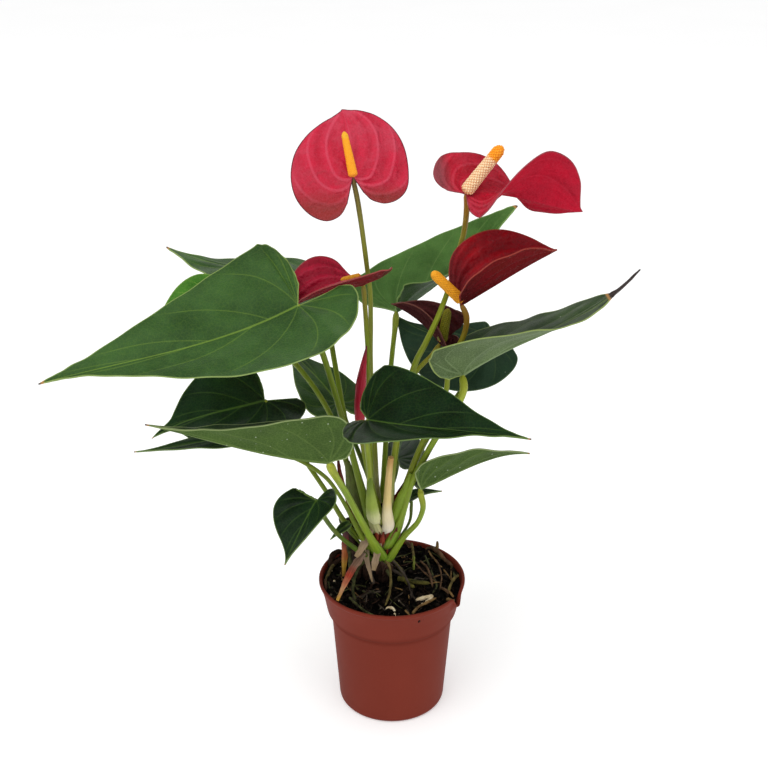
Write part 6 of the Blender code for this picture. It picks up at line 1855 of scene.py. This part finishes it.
def build_pot():
    sizes = bpy.context.scene.anthurium_sizes
    profile = [(0, POT_FLOOR), *pot_inside()[::-1], *pot_outside()]
    points, faces = revolve(rounded(profile, 1.1), sizes.pot_sides)
    mesh = bpy.data.meshes.new("pot")
    mesh.from_pydata(tear(points) * MM, [], faces)
    flip_outwards(mesh)
    seed = bpy.data.objects.new("pot_seed", mesh)
    bpy.context.scene.collection.objects.link(seed)
    cutters = []
    for k in range(DRAIN_COUNT):
        angle = TAU * (k + 0.5) / DRAIN_COUNT
        bpy.ops.mesh.primitive_cylinder_add(vertices=40, radius=DRAIN_RADIUS * MM, depth=0.012, location=(
            DRAIN_CIRCLE * MM * math.cos(angle), DRAIN_CIRCLE * MM * math.sin(angle), POT_FLOOR * MM / 2))
        cutters.append(bpy.context.object)
        holes = seed.modifiers.new("drain_hole", "BOOLEAN")
        holes.operation = "DIFFERENCE"
        holes.solver = "EXACT"
        holes.object = cutters[-1]
    graph = bpy.context.evaluated_depsgraph_get()
    made = bpy.data.meshes.new_from_object(seed.evaluated_get(graph), depsgraph=graph)
    for old in [seed, *cutters]:
        bpy.data.objects.remove(old)
    made.materials.clear()
    made.materials.append(pot_plastic())
    made.shade_smooth()
    made.set_sharp_from_angle(angle=math.radians(32))
    hand_over(add_object("pot_body", made), "pot_plastic", "pot")


def flip_outwards(mesh):
    """Face normals of a closed mesh turned outwards."""
    bm = bmesh.new()
    bm.from_mesh(mesh)
    bmesh.ops.recalc_face_normals(bm, faces=bm.faces)
    bm.to_mesh(mesh)
    bm.free()


def pot_outside():
    """Outer profile of the pot from the rim down to the middle of the base: radius and height."""
    return [
        (POT_RIM_RADIUS, POT_HEIGHT),
        (POT_RIM_RADIUS, POT_HEIGHT - 2.4),
        (POT_COLLAR_TOP_RADIUS, POT_HEIGHT - 3.2),
        (0.5 * (POT_COLLAR_TOP_RADIUS + POT_COLLAR_FOOT_RADIUS), 0.5 * (POT_HEIGHT + POT_COLLAR_FOOT_HEIGHT)),
        (POT_COLLAR_FOOT_RADIUS, POT_COLLAR_FOOT_HEIGHT),
        (POT_COLLAR_FOOT_RADIUS - 0.6, POT_COLLAR_FOOT_HEIGHT - 1.8),
        (POT_BODY_TOP_RADIUS + 0.7, POT_BODY_TOP_HEIGHT + 1.6),
        (POT_BODY_TOP_RADIUS, POT_BODY_TOP_HEIGHT),
        (POT_BASE_RADIUS, 2.6),
        (POT_BASE_RADIUS - 0.7, 0.9),
        (POT_BASE_RADIUS - 2.4, 0.0),
        (0, 0),
    ]


def soil_mesh():
    """Closed body of the soil, with a fine top whose attribute free says how much it may move."""
    inside = [(radius - GAP, height) for radius, height in pot_inside()]
    rows = np.array(inside[1:][::-1])
    edge = np.interp(SOIL_EDGE_HEIGHT, rows[:, 1], rows[:, 0])
    side = [(r, h) for r, h in inside if h < SOIL_EDGE_HEIGHT - 1]
    side[-1] = (side[-1][0], side[-1][1] + GAP)
    top = [(edge * share, SOIL_EDGE_HEIGHT) for share in np.linspace(0, 1, SOIL_RINGS + 1)[1:]]
    points, faces = revolve([(0, SOIL_EDGE_HEIGHT), *top, *side, (0, POT_FLOOR + GAP)], SOIL_SIDES)
    upper = points[:, 2] == SOIL_EDGE_HEIGHT
    lay_soil_top(points, upper, inside)
    mesh = bpy.data.meshes.new("soil")
    mesh.from_pydata(points * MM, [], faces)
    flip_outwards(mesh)
    radius = np.hypot(points[:, 0], points[:, 1])
    wall = np.interp(points[:, 2], rows[:, 1], rows[:, 0])
    free = np.where(upper, np.clip((wall - radius) / 1.5, 0, 1), 0.0)
    add_attribute(mesh, "free", free)
    return mesh


def build_soil():
    sizes = bpy.context.scene.anthurium_sizes
    colours = bpy.context.scene.anthurium_colours
    dark, light = (*colours.soil_dark, 1.0), (*colours.soil_light, 1.0)
    values = {"Height": sizes.soil_lumps, "Size": 0.009, "Material": soil_matter("soil_peat", dark, light)}
    hand_over(grown("soil_body", soil_mesh(), "Soil Top", values), "potting_soil", "soil")
    bark = soil_matter("soil_bark", dark, srgb(50, 38, 30), 0.001)
    values = {"Density": sizes.crumb_density, "Smallest": 0.0005, "Largest": sizes.crumb_size,
              "Roughness": 0.55, "Seed": 3, "Lift": 0.0002, "Material": bark}
    hand_over(grown("soil_crumbs", soil_mesh(), "Scatter", values), "potting_soil")
    grain = soil_matter("soil_grit", srgb(92, 80, 66), srgb(172, 160, 138), 0.0008)
    values = {"Density": 2600.0, "Smallest": 0.0004, "Largest": 0.0011, "Roughness": 0.4, "Seed": 12,
              "Lift": 0.0009, "Material": grain}
    hand_over(grown("soil_grit", soil_mesh(), "Scatter", values), "potting_soil")


def on_soil(points, radius):
    """Points of a line in full: those given without a height lie on the soil."""
    made = []
    for point in points:
        if len(point) == 2:
            made.append((*point, float(soil_height(*point)) + 0.7 * radius))
        else:
            made.append(point)
    return made


def root_line(points, foot, tip, seed, wander=0.5):
    """Wavering line of a root and its girth."""
    rng = np.random.default_rng(seed)
    length = np.linalg.norm(np.diff(np.array(points, float), axis=0), axis=1).sum()
    steps = int(np.clip(length / 0.9, 14, 80))
    share = np.linspace(0, 1, steps)
    line = smooth(points, share)
    kernel = np.ones(5) / 5
    for k in range(3):
        sway = np.convolve(rng.normal(0, wander, steps + 4), kernel, "valid")
        line[:, k] += sway * (0.5 if k == 2 else 1.0) * np.sin(math.pi * np.clip(share, 0.03, 0.97))
    swell = np.convolve(rng.normal(0, 0.22, steps + 4), kernel, "valid")
    girth = (foot + (tip - foot) * share) * (1 + swell)
    girth *= np.interp(share, (0, 0.04, 0.93, 1), (0.7, 1, 0.95, 0.35))
    return line, {"girth": girth}


def build_roots():
    for number, (points, radius) in ROOTS.items():
        look = ROOT_LOOKS[number]
        made = made_once("root_skin_" + look, root_skin, "root_skin_" + look, *ROOT_COLOURS[look])
        values = {"Sides": 20, "Lump Height": 0.0009, "Lump Size": 0.004, "Material": made}
        path = path_mesh([root_line(points, radius, 0.72 * radius, 70 + int(number), 0.25)])
        hand_over(grown(f"root_{number}_aerial", path, "Tubes", values), "root_olive", "root_" + number)


def stray_roots():
    """Thin roots that wander over the soil from the crown, as lines with their girth, by look."""
    sizes = bpy.context.scene.anthurium_sizes
    rng = np.random.default_rng(29)
    found = {look: [] for look in ROOT_COLOURS}
    looks = ("grey", "brown", "olive", "brown", "tan", "grey")
    for k in range(sizes.stray_roots):
        heading = rng.uniform(0, TAU)
        reach = rng.uniform(8, 34)
        place = np.array(CROWN_AXIS) + reach * np.array([math.cos(heading), math.sin(heading)])
        heading += rng.normal(0, 0.9)
        radius = rng.uniform(0.28, 0.75)
        points = []
        for _ in range(rng.integers(4, 8)):
            if np.hypot(*place) > 45.5:
                break
            lift = rng.uniform(0, 1.3)
            points.append((*place, float(soil_height(*place)) + 0.6 * radius + lift))
            heading += rng.normal(0, 0.5)
            place = place + rng.uniform(4, 8) * np.array([math.cos(heading), math.sin(heading)])
        if len(points) > 2:
            points[0] = (*points[0][:2], points[0][2] - 1.5)
            points[-1] = (*points[-1][:2], points[-1][2] - 1.8)
            found[looks[k % len(looks)]].append(root_line(points, radius, 0.6 * radius, 300 + k, 0.45))
    return found


def build_litter():
    """Small roots, twigs and bits that lie on the soil, one piece a look."""
    lines = stray_roots()
    for k, (look, points, foot, tip) in enumerate(LITTER):
        lines[look].append(root_line(on_soil(points, foot), foot, tip, 500 + k, 0.3))
    for look, paths in lines.items():
        made = made_once("root_skin_" + look, root_skin, "root_skin_" + look, *ROOT_COLOURS[look])
        values = {"Sides": 10, "Lump Height": 0.0005, "Lump Size": 0.003, "Material": made}
        hand_over(grown("litter_" + look, path_mesh(paths), "Tubes", values), "root_olive")


def build_stage():
    sizes = bpy.context.scene.anthurium_sizes
    scene = bpy.context.scene
    half = sizes.floor_size / 2
    mesh = bpy.data.meshes.new("floor")
    mesh.from_pydata([(-half, -half, 0), (half, -half, 0), (half, half, 0), (-half, half, 0)], [], [(0, 1, 2, 3)])
    mesh.materials.append(floor_surface())
    add_object("floor", mesh)
    world = bpy.data.worlds.new("studio")
    world.use_nodes = True
    tree = world.node_tree
    back = tree.nodes["Background"]
    rays = put(tree, "ShaderNodeLightPath").outputs
    strength = calc(tree, "MULTIPLY_ADD", rays["Is Glossy Ray"], sizes.sky_sheen - sizes.sky_strength,
                    sizes.sky_strength)
    strength = calc(tree, "MAXIMUM", strength, rays["Is Camera Ray"])
    back.inputs["Color"].default_value = (*scene.anthurium_colours.sky, 1.0)
    tree.links.new(strength, back.inputs["Strength"])
    scene.world = world
    for name, place, size, energy, lights in LIGHTS:
        light = bpy.data.lights.new(name, "AREA")
        light.shape = "DISK"
        light.size = size
        light.energy = energy
        lamp = bpy.data.objects.new(name, light)
        scene.collection.objects.link(lamp)
        lamp.location = place
        lamp.rotation_euler = (Vector(LIGHT_AIM) - Vector(place)).to_track_quat("-Z", "Y").to_euler()
        lamp.visible_diffuse = lights
        lamp.visible_glossy = not lights
    camera = bpy.data.cameras.new("camera")
    camera.lens = CAMERA_LENS
    camera.sensor_width = 36.0
    eye = bpy.data.objects.new("camera", camera)
    eye.location = [MM * part for part in CAMERA_PLACE]
    eye.rotation_euler = (math.radians(CAMERA_TILT), 0.0, 0.0)
    scene.collection.objects.link(eye)
    scene.camera = eye
    scene.view_settings.view_transform = "Standard"


def make_groups():
    """Every node group that the pieces use."""
    for made in (make_marks_group, make_mottle_group, make_skin_group, make_streaks_group, make_specks_group,
                 make_tubes_tree, make_florets_tree, make_lumps_tree, make_scatter_tree):
        made()


# Add-on

def length(name, description, default):
    """A size in metres."""
    return FloatProperty(name=name, description=description, default=default, unit="LENGTH", precision=5)


def colour(name, description, default):
    """A linear colour."""
    return FloatVectorProperty(name=name, description=description, default=default, subtype="COLOR",
                               min=0.0, max=1.0)


class AnthuriumSizes(PropertyGroup):
    """Sizes of the fine detail and of the studio."""

    blade_spacing: length("Blade spacing", "Distance between the points of a blade's mesh", 0.0015)
    blade_waves: length("Blade waves", "Height of the gentle waves of a blade", 0.0006)
    vein_depth: length("Vein depth", "Depth of a leaf's side veins", 0.00014)
    ridge_height: length("Ridge height", "Height of the veins that stand up on a spathe", 0.0008)
    soil_lumps: length("Soil lumps", "Height of the lumps of the soil's top", 0.0022)
    crumb_size: length("Crumb size", "Radius of the largest crumbs", 0.0026)
    floor_size: length("Floor size", "Side of the floor", 12.0)
    crumb_density: FloatProperty(name="Crumb density", description="Crumbs to a square metre of soil",
                                 default=130000.0)
    stalk_points: IntProperty(name="Stalk points", description="Rings along a stalk", default=64)
    stalk_sides: IntProperty(name="Stalk sides", description="Sides of a stalk", default=20)
    pot_sides: IntProperty(name="Pot sides", description="Sides of the pot", default=192)
    stray_roots: IntProperty(name="Stray roots", description="Thin roots on the soil", default=64)
    sky_strength: FloatProperty(name="Sky strength", description="Strength of the even light", default=0.8)
    floor_glow: FloatProperty(name="Floor glow", description="Light that the floor itself gives", default=0.28)
    sky_sheen: FloatProperty(name="Sky sheen", description="Strength of the even light in reflections",
                             default=0.05)


class AnthuriumColours(PropertyGroup):
    """Main colours of the pot, the soil and the studio."""

    pot: colour("Pot", "Moulded plastic of the pot", (0.174, 0.0265, 0.0148))
    soil_dark: colour("Soil, dark", "Hollows of the soil", (0.0016, 0.0012, 0.0013))
    soil_light: colour("Soil, light", "Crests of the soil", (0.012, 0.008, 0.0065))
    floor: colour("Floor", "Pale floor", (0.9, 0.9, 0.9))
    sky: colour("Sky", "Even light of the studio", (1.0, 1.0, 1.0))


class ANTHURIUM_OT_pot(Operator):
    """Make the thin nursery pot with its torn rim."""

    bl_idname = "anthurium.pot"
    bl_label = "Pot"

    def execute(self, context):
        build_pot()
        return {"FINISHED"}


class ANTHURIUM_OT_soil(Operator):
    """Make the soil and its crumbs."""

    bl_idname = "anthurium.soil"
    bl_label = "Soil"

    def execute(self, context):
        build_soil()
        return {"FINISHED"}


class ANTHURIUM_OT_crown(Operator):
    """Make the crown stem and its sheaths."""

    bl_idname = "anthurium.crown"
    bl_label = "Crown"

    def execute(self, context):
        build_crown()
        return {"FINISHED"}


class ANTHURIUM_OT_stalks(Operator):
    """Make all stalks and the cut stub."""

    bl_idname = "anthurium.stalks"
    bl_label = "Stalks"

    def execute(self, context):
        build_stalks()
        return {"FINISHED"}


class ANTHURIUM_OT_leaves(Operator):
    """Make all leaf blades."""

    bl_idname = "anthurium.leaves"
    bl_label = "Leaves"

    def execute(self, context):
        build_leaves()
        return {"FINISHED"}


class ANTHURIUM_OT_spathes(Operator):
    """Make the five spathes."""

    bl_idname = "anthurium.spathes"
    bl_label = "Spathes"

    def execute(self, context):
        build_spathes()
        return {"FINISHED"}


class ANTHURIUM_OT_spadices(Operator):
    """Make the spadix of each spathe."""

    bl_idname = "anthurium.spadices"
    bl_label = "Spadices"

    def execute(self, context):
        build_spadices()
        return {"FINISHED"}


class ANTHURIUM_OT_bud(Operator):
    """Make the rolled bud."""

    bl_idname = "anthurium.bud"
    bl_label = "Bud"

    def execute(self, context):
        build_bud()
        return {"FINISHED"}


class ANTHURIUM_OT_bracts(Operator):
    """Make the papery scale leaves."""

    bl_idname = "anthurium.bracts"
    bl_label = "Bracts"

    def execute(self, context):
        build_bracts()
        return {"FINISHED"}


class ANTHURIUM_OT_roots(Operator):
    """Make the thick aerial roots."""

    bl_idname = "anthurium.roots"
    bl_label = "Roots"

    def execute(self, context):
        build_roots()
        return {"FINISHED"}


class ANTHURIUM_OT_litter(Operator):
    """Make the small roots and bits on the soil."""

    bl_idname = "anthurium.litter"
    bl_label = "Litter"

    def execute(self, context):
        build_litter()
        return {"FINISHED"}


class ANTHURIUM_OT_stage(Operator):
    """Make the floor, the lights and the camera."""

    bl_idname = "anthurium.stage"
    bl_label = "Stage"

    def execute(self, context):
        build_stage()
        return {"FINISHED"}


PARTS = (
    ANTHURIUM_OT_pot, ANTHURIUM_OT_soil, ANTHURIUM_OT_crown,
    ANTHURIUM_OT_stalks, ANTHURIUM_OT_leaves, ANTHURIUM_OT_spathes,
    ANTHURIUM_OT_spadices, ANTHURIUM_OT_bud, ANTHURIUM_OT_bracts,
    ANTHURIUM_OT_roots, ANTHURIUM_OT_litter, ANTHURIUM_OT_stage,
)


class ANTHURIUM_PT_parts(Panel):
    """Buttons for every piece, and its sizes and colours."""

    bl_label = "Anthurium"
    bl_idname = "ANTHURIUM_PT_parts"
    bl_space_type = "VIEW_3D"
    bl_region_type = "UI"
    bl_category = "Anthurium"

    def draw(self, context):
        for part in PARTS:
            self.layout.operator(part.bl_idname)
        for group in (context.scene.anthurium_sizes, context.scene.anthurium_colours):
            for name in group.__annotations__:
                self.layout.prop(group, name)


CLASSES = (AnthuriumSizes, AnthuriumColours, *PARTS, ANTHURIUM_PT_parts)


def register():
    """Register the add-on's classes and settings."""
    for made in CLASSES:
        bpy.utils.register_class(made)
    bpy.types.Scene.anthurium_sizes = PointerProperty(type=AnthuriumSizes)
    bpy.types.Scene.anthurium_colours = PointerProperty(type=AnthuriumColours)


def unregister():
    """Take the add-on's classes and settings away."""
    del bpy.types.Scene.anthurium_colours
    del bpy.types.Scene.anthurium_sizes
    for made in reversed(CLASSES):
        bpy.utils.unregister_class(made)


def main():
    """Make every piece."""
    register()
    make_groups()
    for part in PARTS:
        getattr(bpy.ops.anthurium, part.bl_idname.split(".")[1])()


if __name__ == "__main__":
    main()
